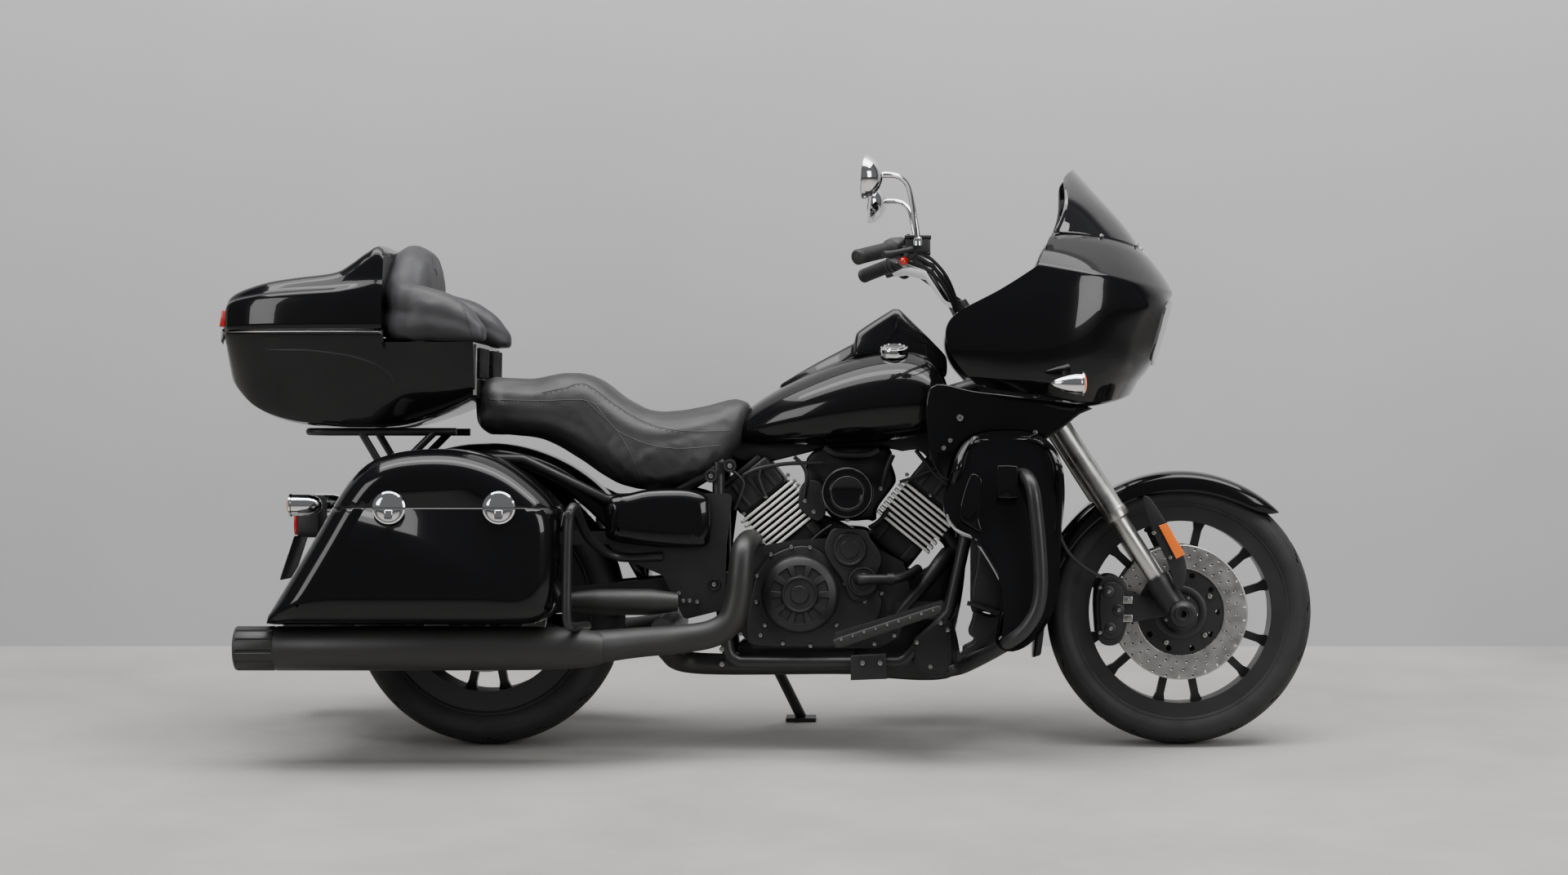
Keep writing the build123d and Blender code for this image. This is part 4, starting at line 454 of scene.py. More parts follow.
def makeFairing():
    bm = bmesh.new()
    rings = []
    for row in fairingRows:
        line = [mm(*place) for place in row]
        lip = line[0] + mm(fairing["lipBack"], fairing["lipWidth"], 0)
        rings.append(bothSides([lip] + line))
    grown = growRings(bm, rings, closed=False)
    side = len(fairingRows[0]) + 1
    low, high = fairing["lampRows"]
    start = fairing["lampFrom"]
    for row in (1, 7):
        creaseBetween(bm, grown[row], 0.75 if row == 7 else 0.45)
    creaseBetween(bm, grown[9], 0.35)
    for column in (1, -2):
        creaseBetween(bm, [ring[column] for ring in grown], 0.7)
    for column in (5, -6):
        creaseBetween(bm, [ring[column] for ring in grown[2:7]], 0.85)
    opening = []
    for row in range(low, high):
        for column in range(start, 2 * side - 2 - start):
            opening += cornerFace(grown, row, column)
    bmesh.ops.delete(bm, geom=opening, context="FACES")
    piece = finishPiece("fairingShell", bm, paintBlack, "frame", ["fairing"], smooth=3,
                        wall=fairing["wall"], sharp=50)
    outwards(piece)
    lens = bmesh.new()
    rings = []
    for row in fairingRows[low:high + 1]:
        line = [mm(*place) for place in row][start - 1:]
        middle = line[0].lerp(line[1], 0.55) + mm(8, 0, 0)
        rings.append(bothSides([line[0], middle, line[1] + mm(4, 0, 0)]))
    growRings(lens, rings, closed=False)
    cover = finishPiece("headlampLens", lens, clearLens, "frame", ["headlamp"], smooth=3,
                        wall=0.003, sharp=60)
    outwards(cover)


makeFairing()

# Windscreen: rows from its foot to its peak, each from the right rear edge to the middle
screenRows = [
    [(1353, -238, 1219), (1400, -223, 1220), (1452, -202, 1215), (1503, -170, 1207), (1546, -122, 1199),
     (1569, -64, 1193), (1576, 0, 1190)],
    [(1364, -233, 1236), (1408, -216, 1237), (1455, -192, 1233), (1500, -158, 1227), (1537, -112, 1220),
     (1556, -58, 1216), (1561, 0, 1214)],
    [(1376, -226, 1262), (1414, -204, 1264), (1453, -175, 1262), (1490, -138, 1258), (1518, -96, 1254),
     (1531, -50, 1252), (1535, 0, 1251)],
    [(1384, -214, 1292), (1414, -188, 1295), (1444, -157, 1295), (1470, -121, 1293), (1488, -82, 1292),
     (1496, -42, 1290), (1498, 0, 1290)],
    [(1384, -190, 1322), (1406, -162, 1328), (1427, -132, 1331), (1443, -99, 1332), (1453, -66, 1333),
     (1457, -33, 1333), (1458, 0, 1333)],
    [(1382, -158, 1346), (1396, -134, 1356), (1408, -108, 1362), (1417, -80, 1366), (1423, -53, 1368),
     (1426, -26, 1369), (1427, 0, 1369)],
    [(1380, -132, 1356), (1390, -112, 1368), (1398, -90, 1376), (1404, -66, 1382), (1407, -44, 1385),
     (1409, -22, 1387), (1409, 0, 1388)],
]


def makeScreen():
    bm = bmesh.new()
    growRings(bm, [bothSides([mm(*place) for place in row]) for row in screenRows], closed=False)
    piece = finishPiece("windscreenSheet", bm, tintedSheet, "frame", ["windscreen"],
                        smooth=2, wall=0.004, sharp=60)
    outwards(piece)


makeScreen()
print("fairing and screen made")

# Rings across the machine at stations along it: shares of the half width and of the height
tankShape = [(0.0, 0.0), (0.55, 0.0), (0.84, 0.08), (0.98, 0.28), (1.0, 0.46), (0.93, 0.68), (0.74, 0.88),
             (0.42, 0.98), (0.0, 1.0)]
tankStations = [
    (589, 52, 738, 764), (600, 78, 728, 784), (632, 104, 718, 817), (700, 138, 716, 861),
    (800, 170, 719, 909), (900, 189, 725, 945), (1000, 196, 730, 959), (1060, 190, 742, 942),
    (1092, 174, 762, 906), (1106, 140, 800, 866),
]


def stationRing(shape, x, halfWidth, low, high):
    half = [mm(x, -halfWidth * out, low + (high - low) * up) for out, up in shape]
    return half + mirrored(half[1:-1])


def makeTank():
    bm = bmesh.new()
    grown = growRings(bm, [stationRing(tankShape, *station) for station in tankStations])
    for ring in (grown[0], grown[-1]):
        face = capRing(bm, ring)
        bmesh.ops.inset_region(bm, faces=[face], thickness=0.012, depth=0.004)
    finishPiece("tankShell", bm, paintBlack, "frame", ["fuel_tank"], smooth=3, sharp=60)


makeTank()

consoleShape = [(0.0, 0.0), (1.0, 0.0), (0.94, 0.35), (0.80, 0.70), (0.72, 0.92), (0.60, 1.0), (0.0, 1.0)]
consoleStations = [
    (700, 24, 846, 866), (710, 30, 846, 872), (780, 50, 878, 914), (850, 66, 908, 950), (880, 76, 922, 966),
    (886, 80, 924, 988), (892, 82, 924, 996), (935, 86, 924, 1024), (976, 88, 922, 1049),
    (990, 88, 918, 1048), (1046, 82, 900, 994), (1096, 68, 884, 944), (1106, 60, 884, 930),
]


def makeConsole():
    bm = bmesh.new()
    grown = growRings(bm, [stationRing(consoleShape, *station) for station in consoleStations])
    capEnds(bm, grown)
    for number in (4, 5, 8, 9):
        creaseBetween(bm, grown[number] + grown[number][:1], 0.5)
    for column in (5, 7):
        creaseBetween(bm, [ring[column] for ring in grown], 0.55)
    finishPiece("tankConsole", bm, paintBlack, "frame", ["tank_console"], smooth=3, sharp=60)


makeConsole()


def spinProfile(bm, profile, centre, axis, across, steps):
    # A profile of (out from the axis, along the axis) turned once round, its ends closed at the axis
    origin, axis = Vector(centre), Vector(axis).normalized()
    out = Vector(across).normalized()
    verts = [bm.verts.new(origin + out * (r * 0.001) + axis * (h * 0.001)) for r, h in profile]
    edges = [bm.edges.new(pair) for pair in zip(verts, verts[1:])]
    bmesh.ops.spin(bm, geom=verts + edges, cent=origin, axis=axis, angle=tau, steps=steps, use_merge=True)
    bmesh.ops.remove_doubles(bm, verts=bm.verts, dist=1e-6)


def makeFuelCap():
    bm = bmesh.new()
    spinProfile(bm, [(0, -6), (31, -6), (34, -2), (34, 12), (32.5, 15), (29, 16), (27.5, 14), (24, 14),
                     (22, 16.5), (0, 17.5)], mm(978, -112, 940), (0, -0.30, 0.95), (1, 0, 0), 48)
    finishPiece("fuelCap", bm, brightChrome, "frame", sharp=35)


makeFuelCap()
print("tank made")

# Seat and backrest: closed crowned forms, puffed by a short cloth run, then seams laid on what comes out
padRun = {
    "voxel": 0.006, "pressure": 4.0, "stiffness": 40, "frames": 20, "cap": 0.008, "backrestCap": 0.004,
    "fill": 0.9,
}


def puffPad(piece, cap):
    scene = bpy.context.scene
    remesh = addModifier(piece, "REMESH", mode="VOXEL", voxel_size=padRun["voxel"])
    graph = bpy.context.evaluated_depsgraph_get()
    rest = bpy.data.meshes.new_from_object(piece.evaluated_get(graph))
    piece.modifiers.remove(remesh)
    old = piece.data
    piece.data = rest
    start = [vert.co.copy() for vert in rest.vertices]
    cloth = piece.modifiers.new("cloth", "CLOTH")
    cloth.settings.use_pressure = True
    cloth.settings.uniform_pressure_force = padRun["pressure"]
    cloth.settings.effector_weights.gravity = 0
    cloth.settings.tension_stiffness = padRun["stiffness"]
    cloth.settings.compression_stiffness = padRun["stiffness"]
    for number in range(1, padRun["frames"] + 1):
        scene.frame_set(number)
    graph = bpy.context.evaluated_depsgraph_get()
    puffed = bpy.data.meshes.new_from_object(piece.evaluated_get(graph))
    piece.modifiers.remove(cloth)
    for vert, from_ in zip(puffed.vertices, start):
        move = vert.co - from_
        if move.length > cap:
            vert.co = from_ + move * (cap / move.length)
    puffed.materials.clear()
    for one in old.materials:
        puffed.materials.append(one)
    piece.data = puffed
    scene.frame_set(1)
    smoothPad(piece, 3)
    addModifier(piece, "SUBSURF", levels=1, render_levels=1)


def smoothPad(piece, rounds):
    bm = bmesh.new()
    bm.from_mesh(piece.data)
    for _ in range(rounds):
        bmesh.ops.smooth_vert(bm, verts=bm.verts, factor=0.5, use_axis_x=True, use_axis_y=True,
                              use_axis_z=True)
    bm.to_mesh(piece.data)
    bm.free()
    piece.data.shade_smooth()


seatShape = [(0.0, 0.0), (0.80, 0.0), (0.96, 0.10), (1.0, 0.34), (0.97, 0.62), (0.86, 0.86), (0.60, 0.975),
             (0.30, 0.995), (0.0, 0.985)]
# x, half width, low, high
seatStations = [
    (-20, 112, 772, 868), (-8, 128, 764, 874), (40, 136, 760, 875), (88, 140, 756, 873), (122, 142, 752, 874),
    (165, 146, 738, 883), (212, 152, 712, 886), (248, 158, 690, 880), (300, 168, 656, 846),
    (350, 176, 636, 813), (400, 180, 630, 796), (450, 178, 632, 795), (500, 166, 642, 802),
    (550, 142, 664, 814), (590, 112, 700, 828), (612, 88, 740, 832), (622, 70, 772, 826),
]


def makeSeat():
    bm = bmesh.new()
    grown = growRings(bm, [stationRing(seatShape, *station) for station in seatStations])
    for ring in (grown[0], grown[-1]):
        bmesh.ops.inset_region(bm, faces=[capRing(bm, ring)], thickness=0.02, depth=0.004)
    for _ in range(2):
        bmesh.ops.subdivide_edges(bm, edges=bm.edges, cuts=1, smooth=0.9, use_grid_fill=True)
    piece = finishPiece("seatCushion", bm, seatLeather, "frame", ["seat"], sharp=180)
    puffPad(piece, padRun["cap"])
    return piece


seatCushion = makeSeat()
print("seat made")

# Backrest: one pad that wraps forward at both sides
# place in plan, which way it faces, half thickness, low, high
padStations = [
    ((22, 262), (-0.10, 1.0), 16, 968, 990), ((8, 256), (-0.12, 1.0), 26, 966, 1012),
    ((-40, 252), (-0.10, 1.0), 32, 966, 1058), ((-100, 247), (-0.12, 1.0), 34, 966, 1084),
    ((-150, 238), (-0.45, 0.9), 38, 966, 1096), ((-178, 196), (-0.9, 0.45), 44, 966, 1112),
    ((-182, 140), (-1.0, 0.08), 47, 966, 1156), ((-180, 80), (-1.0, 0.0), 48, 966, 1188),
    ((-178, 0), (-1.0, 0.0), 48, 966, 1196),
]
padShape = [(-1.0, 0.06), (-0.55, 0.0), (0.55, 0.0), (1.0, 0.06), (1.05, 0.5), (0.92, 0.88), (0.5, 1.0),
            (-0.5, 1.0), (-0.92, 0.88), (-1.05, 0.5)]


def makeBackrest():
    bm = bmesh.new()
    stations = [(x, -y, nx, -ny, t, low, high) for (x, y), (nx, ny), t, low, high in padStations]
    stations += [(x, -y, nx, -ny, t, low, high) for x, y, nx, ny, t, low, high in reversed(stations[:-1])]
    rings = []
    for x, y, nx, ny, thick, low, high in stations:
        way = Vector((nx, ny, 0)).normalized()
        rings.append([mm(x, y, low + (high - low) * up) + way * (thick * out * 0.001) for out,
                      up in padShape])
    capEnds(bm, growRings(bm, rings))
    for _ in range(2):
        bmesh.ops.subdivide_edges(bm, edges=bm.edges, cuts=1, smooth=0.9, use_grid_fill=True)
    piece = finishPiece("backrestCushion", bm, padVinyl, "top_case_lid", ["backrest_pad"],
                        sharp=180)
    puffPad(piece, padRun["backrestCap"])
    return piece


backrestCushion = makeBackrest()
print("backrest made")

# Saddlebags: side outline drawn in to a rounded shoulder, split at the lid's seam, walls added
bag = {"face": 427.0, "seam": 576.0, "gap": 1.2, "wall": 0.006, "points": 96, "least": 0.5}
bagOutline = [
    (-472, 322), (-474, 306), (-440, 303), (-300, 303), (-100, 303), (80, 303), (150, 308), (188, 330),
    (202, 372), (206, 440), (206, 520), (202, 560), (184, 590), (150, 624), (98, 664), (40, 692), (-30, 709),
    (-100, 711), (-170, 704), (-230, 684), (-276, 644), (-316, 585), (-360, 508), (-420, 408),
]
# how far in from the side outline the shoulder is at each depth
bagSteps = [(178, 0), (250, 0), (330, 0), (366, 2), (390, 8), (408, 20), (420, 36), (426, 54)]


def insetLine(line, inwards):
    size = len(line)
    drawn = []
    for number, place in enumerate(line):
        along = (line[(number + 1) % size] - line[number - 1]).normalized()
        drawn.append(place + Vector((-along.z, 0, along.x)) * inwards)
    return drawn


def bagRings(side):
    outline = smoothLine([mm(x, 0, z) for x, z in bagOutline], bag["points"], closed=True)
    rings = []
    middle = sum(outline, Vector()) / len(outline)
    normals = [(moved - place).normalized() for place, moved in zip(outline, insetLine(outline, 0.001))]
    for depth, inwards in bagSteps:
        # each point goes straight to the outline's middle, so the sharp tail corner can't fold over
        line = []
        for place, normal in zip(outline, normals):
            way = (middle - place).normalized()
            line.append(place + way * (inwards * 0.001 / max(way.dot(normal), bag["least"])))
        for _ in range(3 if inwards > 10 else 0):
            line = [(line[n - 1] + line[n] * 2 + line[(n + 1) % len(line)]) / 4 for n in range(len(line))]
        rings.append([Vector((p.x, side * depth * 0.001, p.z)) for p in line])
    return rings


def makeBag(side, name):
    whole = bmesh.new()
    grown = growRings(whole, bagRings(side))
    capRing(whole, grown[0])
    face = capRing(whole, grown[-1])
    bmesh.ops.inset_region(whole, faces=[face], thickness=0.02, depth=0.0015)
    lid = "saddlebag_lid_" + name.lower()
    for half, part, body, node in ((-1, "Shell", "frame", "saddlebags"), (1, "Cover", lid, lid)):
        bm = whole.copy()
        cutBehind(bm, mm(0, 0, bag["seam"] + half * bag["gap"] / 2), (0, 0, half))
        piece = finishPiece(
            "saddlebag" + part + name, bm, paintBlack, body, [node], wall=bag["wall"], sharp=38,
        )
        outwards(piece)
    whole.free()


makeBag(-1, "Right")
makeBag(1, "Left")


# Latches: a chrome dome over each end of the seam, its lower half a flap with a pull
latchProfile = [(0, -4), (36, -4), (37.5, -1), (37.5, 2), (34, 4.5), (31, 4.2), (27, 6.0), (14, 7.8), (0, 8)]


def makeLatches():
    for side, name in ((-1, "Right"), (1, "Left")):
        for half, body in ((-1, "frame"), (1, "saddlebag_lid_" + name.lower())):
            bm = bmesh.new()
            for x in (-180, 73):
                disc = bmesh.new()
                middle = mm(x, side * bag["face"], bag["seam"])
                spinProfile(disc, latchProfile, middle, (0, side, 0), (1, 0, 0), 64)
                cutBehind(disc, mm(0, 0, bag["seam"] + half * bag["gap"] / 2), (0, 0, half))
                cut = [edge for edge in disc.edges if edge.is_boundary]
                bmesh.ops.holes_fill(disc, edges=cut)
                joinInto(bm, disc)
                if half < 0:
                    pull = Matrix.Translation(mm(x, side * (bag["face"] + 4), bag["seam"] - 18))
                    softBox(bm, pull @ Matrix.Diagonal((0.02, 0.012, 0.026, 1)), 0.003)
            where = "Lower" if half < 0 else "Upper"
            finishPiece("latch" + where + name, bm, brightChrome, body, sharp=30)


makeLatches()
print("saddlebags made")

# Top case: rings along the machine, split at the lid's seam
caseShape = [
    ("low", 0.0, 0.0), ("low", 0.62, 0.0), ("low", 0.88, 0.03), ("low", 1.0, 0.12), ("seam", 0.992, -0.12),
    ("seam", 1.0, 0.0), ("brow", 0.985, 0.0), ("brow", 0.93, 0.35), ("top", 0.86, -0.12),
    ("top", 0.72, -0.03), ("top", 0.4, 0.0), ("top", 0.0, 0.0),
]
# x, half width low, half width at the seam, low, brow, top
caseStations = [
    (-604, 120, 196, 886, 1030, 1052), (-598, 136, 208, 872, 1044, 1066), (-580, 156, 224, 848, 1052, 1080),
    (-545, 170, 242, 812, 1058, 1094), (-494, 178, 256, 786, 1064, 1108), (-430, 186, 264, 770, 1068, 1118),
    (-340, 194, 270, 763, 1072, 1130), (-300, 196, 272, 762, 1074, 1152), (-262, 198, 272, 762, 1076, 1180),
    (-228, 200, 272, 763, 1078, 1190), (-180, 204, 272, 768, 1078, 1100), (-100, 214, 270, 792, 1060, 1080),
    (-50, 222, 268, 812, 1050, 1070), (-8, 230, 266, 832, 1040, 1060),
]
topCase = {
    "seam": 990.0, "gap": 1.6, "wall": 0.006, "padBack": -222.0, "padLow": 962.0, "forward": 14.0,
    "deckSlit": 0.02,
}


def caseRing(station):
    x, lowHalf, seamHalf, low, brow, top = station
    half = []
    for level, out, up in caseShape:
        if level == "low":
            half.append(mm(x, -lowHalf * out, low + (topCase["seam"] - low) * up))
        elif level == "seam":
            half.append(mm(x, -seamHalf * out, topCase["seam"] + (topCase["seam"] - low) * up))
        elif level == "brow":
            half.append(mm(x, -seamHalf * out, brow + (top - brow) * up))
        else:
            half.append(mm(x, -seamHalf * out, top + (top - brow) * up))
    return half + mirrored(half[1:-1])


def evenSteps(points, steps):
    # A closed smooth line with the same number of steps between each two given points
    size = len(points)
    line = []
    for number in range(size):
        spots = [(number + k) % size for k in (-1, 0, 1, 2)]
        line += [splineAt(points, spots, step / steps) for step in range(steps)]
    return line


def smoothRings(rings, count):
    # More rings between the given ones, on smooth lines through their points
    columns = [smoothLine([ring[number] for ring in rings], count) for number in range(len(rings[0]))]
    return [[column[number] for column in columns] for number in range(count)]


def growRim(bm, axis, reach):
    # New edges on the open rim that lies at one place along an axis; their verts are then moved
    rim = []
    for edge in bm.edges:
        if edge.is_boundary and max(abs(vert.co[axis] - reach) for vert in edge.verts) < 1e-5:
            rim.append(edge)
    return newVerts(bmesh.ops.extrude_edge_only(bm, edges=rim))


def makeTopCase():
    whole = bmesh.new()
    rings = smoothRings([evenSteps(caseRing(station), 4) for station in caseStations], 60)
    grown = growRings(whole, rings)
    face = capRing(whole, grown[0])
    bmesh.ops.inset_region(whole, faces=[face], thickness=0.03, depth=0.006)
    capRing(whole, grown[-1])
    lid, base = whole.copy(), whole
    cutBehind(base, mm(0, 0, topCase["seam"] - topCase["gap"] / 2), (0, 0, -1))
    edgeX, edgeZ = topCase["padBack"] * 0.001, topCase["padLow"] * 0.001
    cutBehind(base, (0, 0, edgeZ), (0, 0, 1), clear=False)
    middles = [(face, face.calc_center_median()) for face in base.faces]
    gone = [face for face, middle in middles if middle.z > edgeZ and middle.x > edgeX]
    bmesh.ops.delete(base, geom=gone, context="FACES")
    for vert in growRim(base, 2, edgeZ):
        vert.co.y *= topCase["deckSlit"]
    outwards(finishPiece("topCaseShell", base, paintBlack, "frame", ["top_case_base"],
                         wall=topCase["wall"], sharp=40))
    cutBehind(lid, mm(0, 0, topCase["seam"] + topCase["gap"] / 2), (0, 0, 1))
    cutBehind(lid, (edgeX, 0, 0), (-1, 0, 0))
    # the lid's front is closed by a wall that comes forward to the pad's back
    for vert in growRim(lid, 0, edgeX):
        vert.co.x += topCase["forward"] * 0.001
        vert.co.y = 0
    outwards(finishPiece("topCaseCover", lid, paintBlack, "top_case_lid", ["top_case_lid"],
                         wall=topCase["wall"], sharp=40))


makeTopCase()
print("top case made")

# Round tubes, flat plates and bolts that many pieces share


def sweepTube(bm, points, radii, segments, count):
    # A round section carried along a smooth line, its radius drawn between the given ones
    line = smoothLine([mm(*place) for place in points], count)
    radii = radii if isinstance(radii, (list, tuple)) else [radii] * 2
    sideways = None
    rings = []
    for number, place in enumerate(line):
        along = (line[min(number + 1, count - 1)] - line[max(number - 1, 0)]).normalized()
        if sideways is None:
            sideways = along.orthogonal().normalized()
        sideways = (sideways - along * sideways.dot(along)).normalized()
        upways = along.cross(sideways)
        share = number / (count - 1) * (len(radii) - 1)
        low = min(int(share), len(radii) - 2)
        radius = (radii[low] + (radii[low + 1] - radii[low]) * (share - low)) * 0.001
        turns = [tau * k / segments for k in range(segments)]
        rings.append([place + sideways * (radius * cos(t)) + upways * (radius * sin(t)) for t in turns])
    capEnds(bm, growRings(bm, rings))


def addPlate(bm, outline, low, high, soft, rounded=0):
    # A side outline in X and Z made as thick as low to high along Y, its edges softened
    line = [mm(x, low, z) for x, z in outline]
    if rounded:
        line = smoothLine(line, rounded, closed=True)
    part = bmesh.new()
    thicken(part, line, mm(0, high - low, 0))
    softenRims(part, 1, soft * 0.001)
    joinInto(bm, part)


def sidePlate(bm, outline, side, near, far, soft, rounded=0):
    # A plate between two distances from the machine's middle plane, on one side of it
    low, high = sorted((side * near, side * far))
    addPlate(bm, outline, low, high, soft, rounded)


def addBolt(bm, place, way, radius):
    # Button head with a round socket
    height = radius * 0.7
    side = Vector(way).normalized().orthogonal()
    profile = [
        (0, height * 0.25), (radius * 0.42, height * 0.3), (radius * 0.46, height),
        (radius * 0.8, height * 0.9), (radius, height * 0.45), (radius, -radius * 0.6),
    ]
    spinProfile(bm, profile, mm(*place), way, side, 16)


def addBolts(name, places, body):
    # places: x, y, z, radius, which side it faces
    bm = bmesh.new()
    for x, y, z, radius, way in places:
        addBolt(bm, (x, y, z), way, radius)
    finishPiece(name, bm, boltSteel, body, sharp=40)


rightWay = (0, -1, 0)
leftWay = (0, 1, 0)


# How places were measured in the photo: how far off its camera stood in millimetres, its middle, the rear
# axle and the road in pixels, and pixels a millimetre
photo = {"away": 8383, "middleX": 1130, "middleY": 553, "axleX": 600.5, "roadY": 910, "scale": 0.506}
# Enlarged pieces of it: left and top pixel, how many times enlarged
enlarged = {
    "engine": (880, 540, 3.564), "seat": (540, 440, 3.92), "topCase": (265, 290, 3.92),
    "plates": (640, 560, 6.03),
}


def pixelSpot(px, py, y):
    # x and z of a place in the photo, brought onto the plane at y
    scale = photo["away"] / (photo["away"] + y)
    x = photo["middleX"] + (px - photo["middleX"]) / scale - photo["axleX"]
    z = photo["roadY"] - (photo["middleY"] + (py - photo["middleY"]) / scale)
    return (x / photo["scale"], z / photo["scale"])


def zoomSpot(crop, y, where="engine"):
    left, top, zoom = enlarged[where]
    return pixelSpot(left + crop[0] / zoom, top + crop[1] / zoom, y)


def zoomPlace(crop, y):
    x, z = zoomSpot(crop, y)
    return (x, y, z)


def zoomRun(*crops):
    # a line from places in the enlarged engine, each with how far across the machine it lies
    return [zoomPlace((cx, cy), y) for cx, cy, y in crops]


# Tyres: a crowned section turned round the axle, with slanting grooves sunk into the tread
tyres = {
    "front": {"radius": 319.3, "half": 65, "bead": 243, "steps": 160, "groove": 0.0032},
    "rear": {"radius": 327.6, "half": 90, "bead": 231, "steps": 160, "groove": 0.0036},
}


def tyreProfile(tyre):
    radius, half, bead = tyre["radius"], tyre["half"], tyre["bead"]
    depth = radius - bead
    shares = [
        (0.02, 0.72), (0.10, 0.80), (0.18, 0.84), (0.20, 0.87), (0.24, 0.87), (0.27, 0.91), (0.40, 0.97),
        (0.52, 1.0), (0.56, 0.985), (0.62, 0.985), (0.68, 0.96), (0.75, 0.90), (0.82, 0.80), (0.875, 0.69),
        (0.92, 0.56), (0.955, 0.42), (0.98, 0.28), (0.995, 0.14), (1.0, 0.0),
    ]
    side = [(bead + depth * up, -half * out) for up, out in shares]
    return side + [(r, -y) for r, y in reversed(side[:-1])]


def sink(bm, faces, thickness, depth):
    # Presses faces into a turned shape, whose faces first look away from the shape's middle
    bmesh.ops.recalc_face_normals(bm, faces=bm.faces)
    middle = sum((vert.co for vert in bm.verts), Vector()) / len(bm.verts)
    if sum((face.calc_center_median() - middle).dot(face.normal) * face.calc_area() for face in bm.faces) < 0:
        bmesh.ops.reverse_faces(bm, faces=bm.faces)
    bmesh.ops.inset_region(bm, faces=faces, thickness=thickness, depth=-depth, use_even_offset=True)


def makeTyre(which, body):
    tyre = tyres[which]
    bm = bmesh.new()
    centre = mm(*axles[which])
    spinProfile(bm, tyreProfile(tyre), centre, (0, 1, 0), (0, 0, 1), tyre["steps"])
    cut = []
    for face in bm.faces:
        place = face.calc_center_median() - centre
        out = Vector((place.x, 0, place.z)).length
        if out < (tyre["radius"] - 0.24 * (tyre["radius"] - tyre["bead"])) * 0.001:
            continue
        across = abs(place.y) / (tyre["half"] * 0.001)
        turn = atan2(place.z, place.x) / tau * tyre["steps"]
        phase = (turn + (across * 7 if place.y > 0 else across * 7 + 5)) % 10
        if 0.16 < across < 0.78 and phase < 1.1 or 0.05 < across < 0.16:
            cut.append(face)
    sink(bm, cut, 0.0007, tyre["groove"])
    tyre = finishPiece(which + "Tyre", bm, tyreRubber, body, [which + "_tyre"], sharp=35,
                       wall=0.006)
    outwards(tyre)


makeTyre("front", "front_wheel")
makeTyre("rear", "rear_wheel")

# Brake discs: flat rings with three rows of small round holes
discs = {"thick": 5.0, "cells": 180, "hole": 2.4}


def makeDisc(name, which, faceY, inner, outer, side, stands=()):
    bm = bmesh.new()
    middle = mm(*axles[which]) + mm(0, side * faceY, 0)
    radii = [inner, inner + 3, inner + 10, inner + 20, inner + 28, inner + 38, inner + 46, outer - 3, outer]
    cells = discs["cells"]
    rings = [[middle + mm(r * cos(tau * k / cells), 0,
                          r * sin(tau * k / cells)) for k in range(cells)] for r in radii]
    grown = growRings(bm, rings)
    holes = []
    for band, phase in ((2, 0), (4, 2), (6, 4)):
        for k in range(cells):
            if (k + phase) % 6 == 0:
                holes += cornerFace(grown, band, k)
    bmesh.ops.inset_individual(bm, faces=holes, thickness=0.0010)
    bmesh.ops.subdivide_edges(bm, edges=list({edge for face in holes for edge in face.edges}), cuts=1)
    for face in [face for face in bm.faces if len(face.verts) == 8]:
        if face.calc_area() < 4e-5:
            spot = face.calc_center_median()
            for vert in face.verts:
                vert.co = spot + (vert.co - spot).normalized() * (discs["hole"] * 0.001)
            bm.faces.remove(face)
    wall = discs["thick"] * 0.001
    finishPiece(name, bm, groundSteel, which + "_wheel", stands, wall=wall, sharp=30)


makeDisc("frontDiscRight", "front", 64.5, 104, 162, -1, ["front_brake_discs"])
makeDisc("frontDiscLeft", "front", 64.5, 104, 162, 1)
makeDisc("rearDisc", "rear", 98.5, 95, 150, -1, ["rear_brake_disc"])
print("wheels made")

# Exhaust: header, two collectors, the crossover and the upper pipe, then both mufflers with slotted ends
exhaustRuns = [
    ([(640, -90, 494), (632, -170, 492), (623, -222, 470), (618, -232, 420), (612, -232, 362),
      (594, -233, 306), (548, -236, 276),
      (470, -245, 264), (380, -274, 258), (300, -306, 251), (262, -318, 247)],
      [24, 27, 30, 32, 33, 34, 36, 40]),
    ([(215, -212, 350), (240, -212, 350), (330, -212, 350), (440, -212, 350), (468, -210, 350)],
     [24, 31, 31, 31, 22]),
    ([(430, -232, 288), (430, -120, 284), (430, 120, 284), (430, 232, 284), (400, 262, 270), (330, 300, 254),
      (262, 318, 247)], [24, 26, 30, 34, 40]),
    ([(1079, -44, 529), (1118, -44, 490), (1125, -44, 440), (1110, -44, 330), (1080, -44, 240),
      (1000, -44, 199), (800, -44, 195), (500, -44, 196),
      (440, -120, 230), (432, -200, 272)], [24, 26, 26, 26, 26]),
]
muffler = {"y": 318.0, "z": 247.0, "back": -554.0, "steps": 72, "slots": 12}


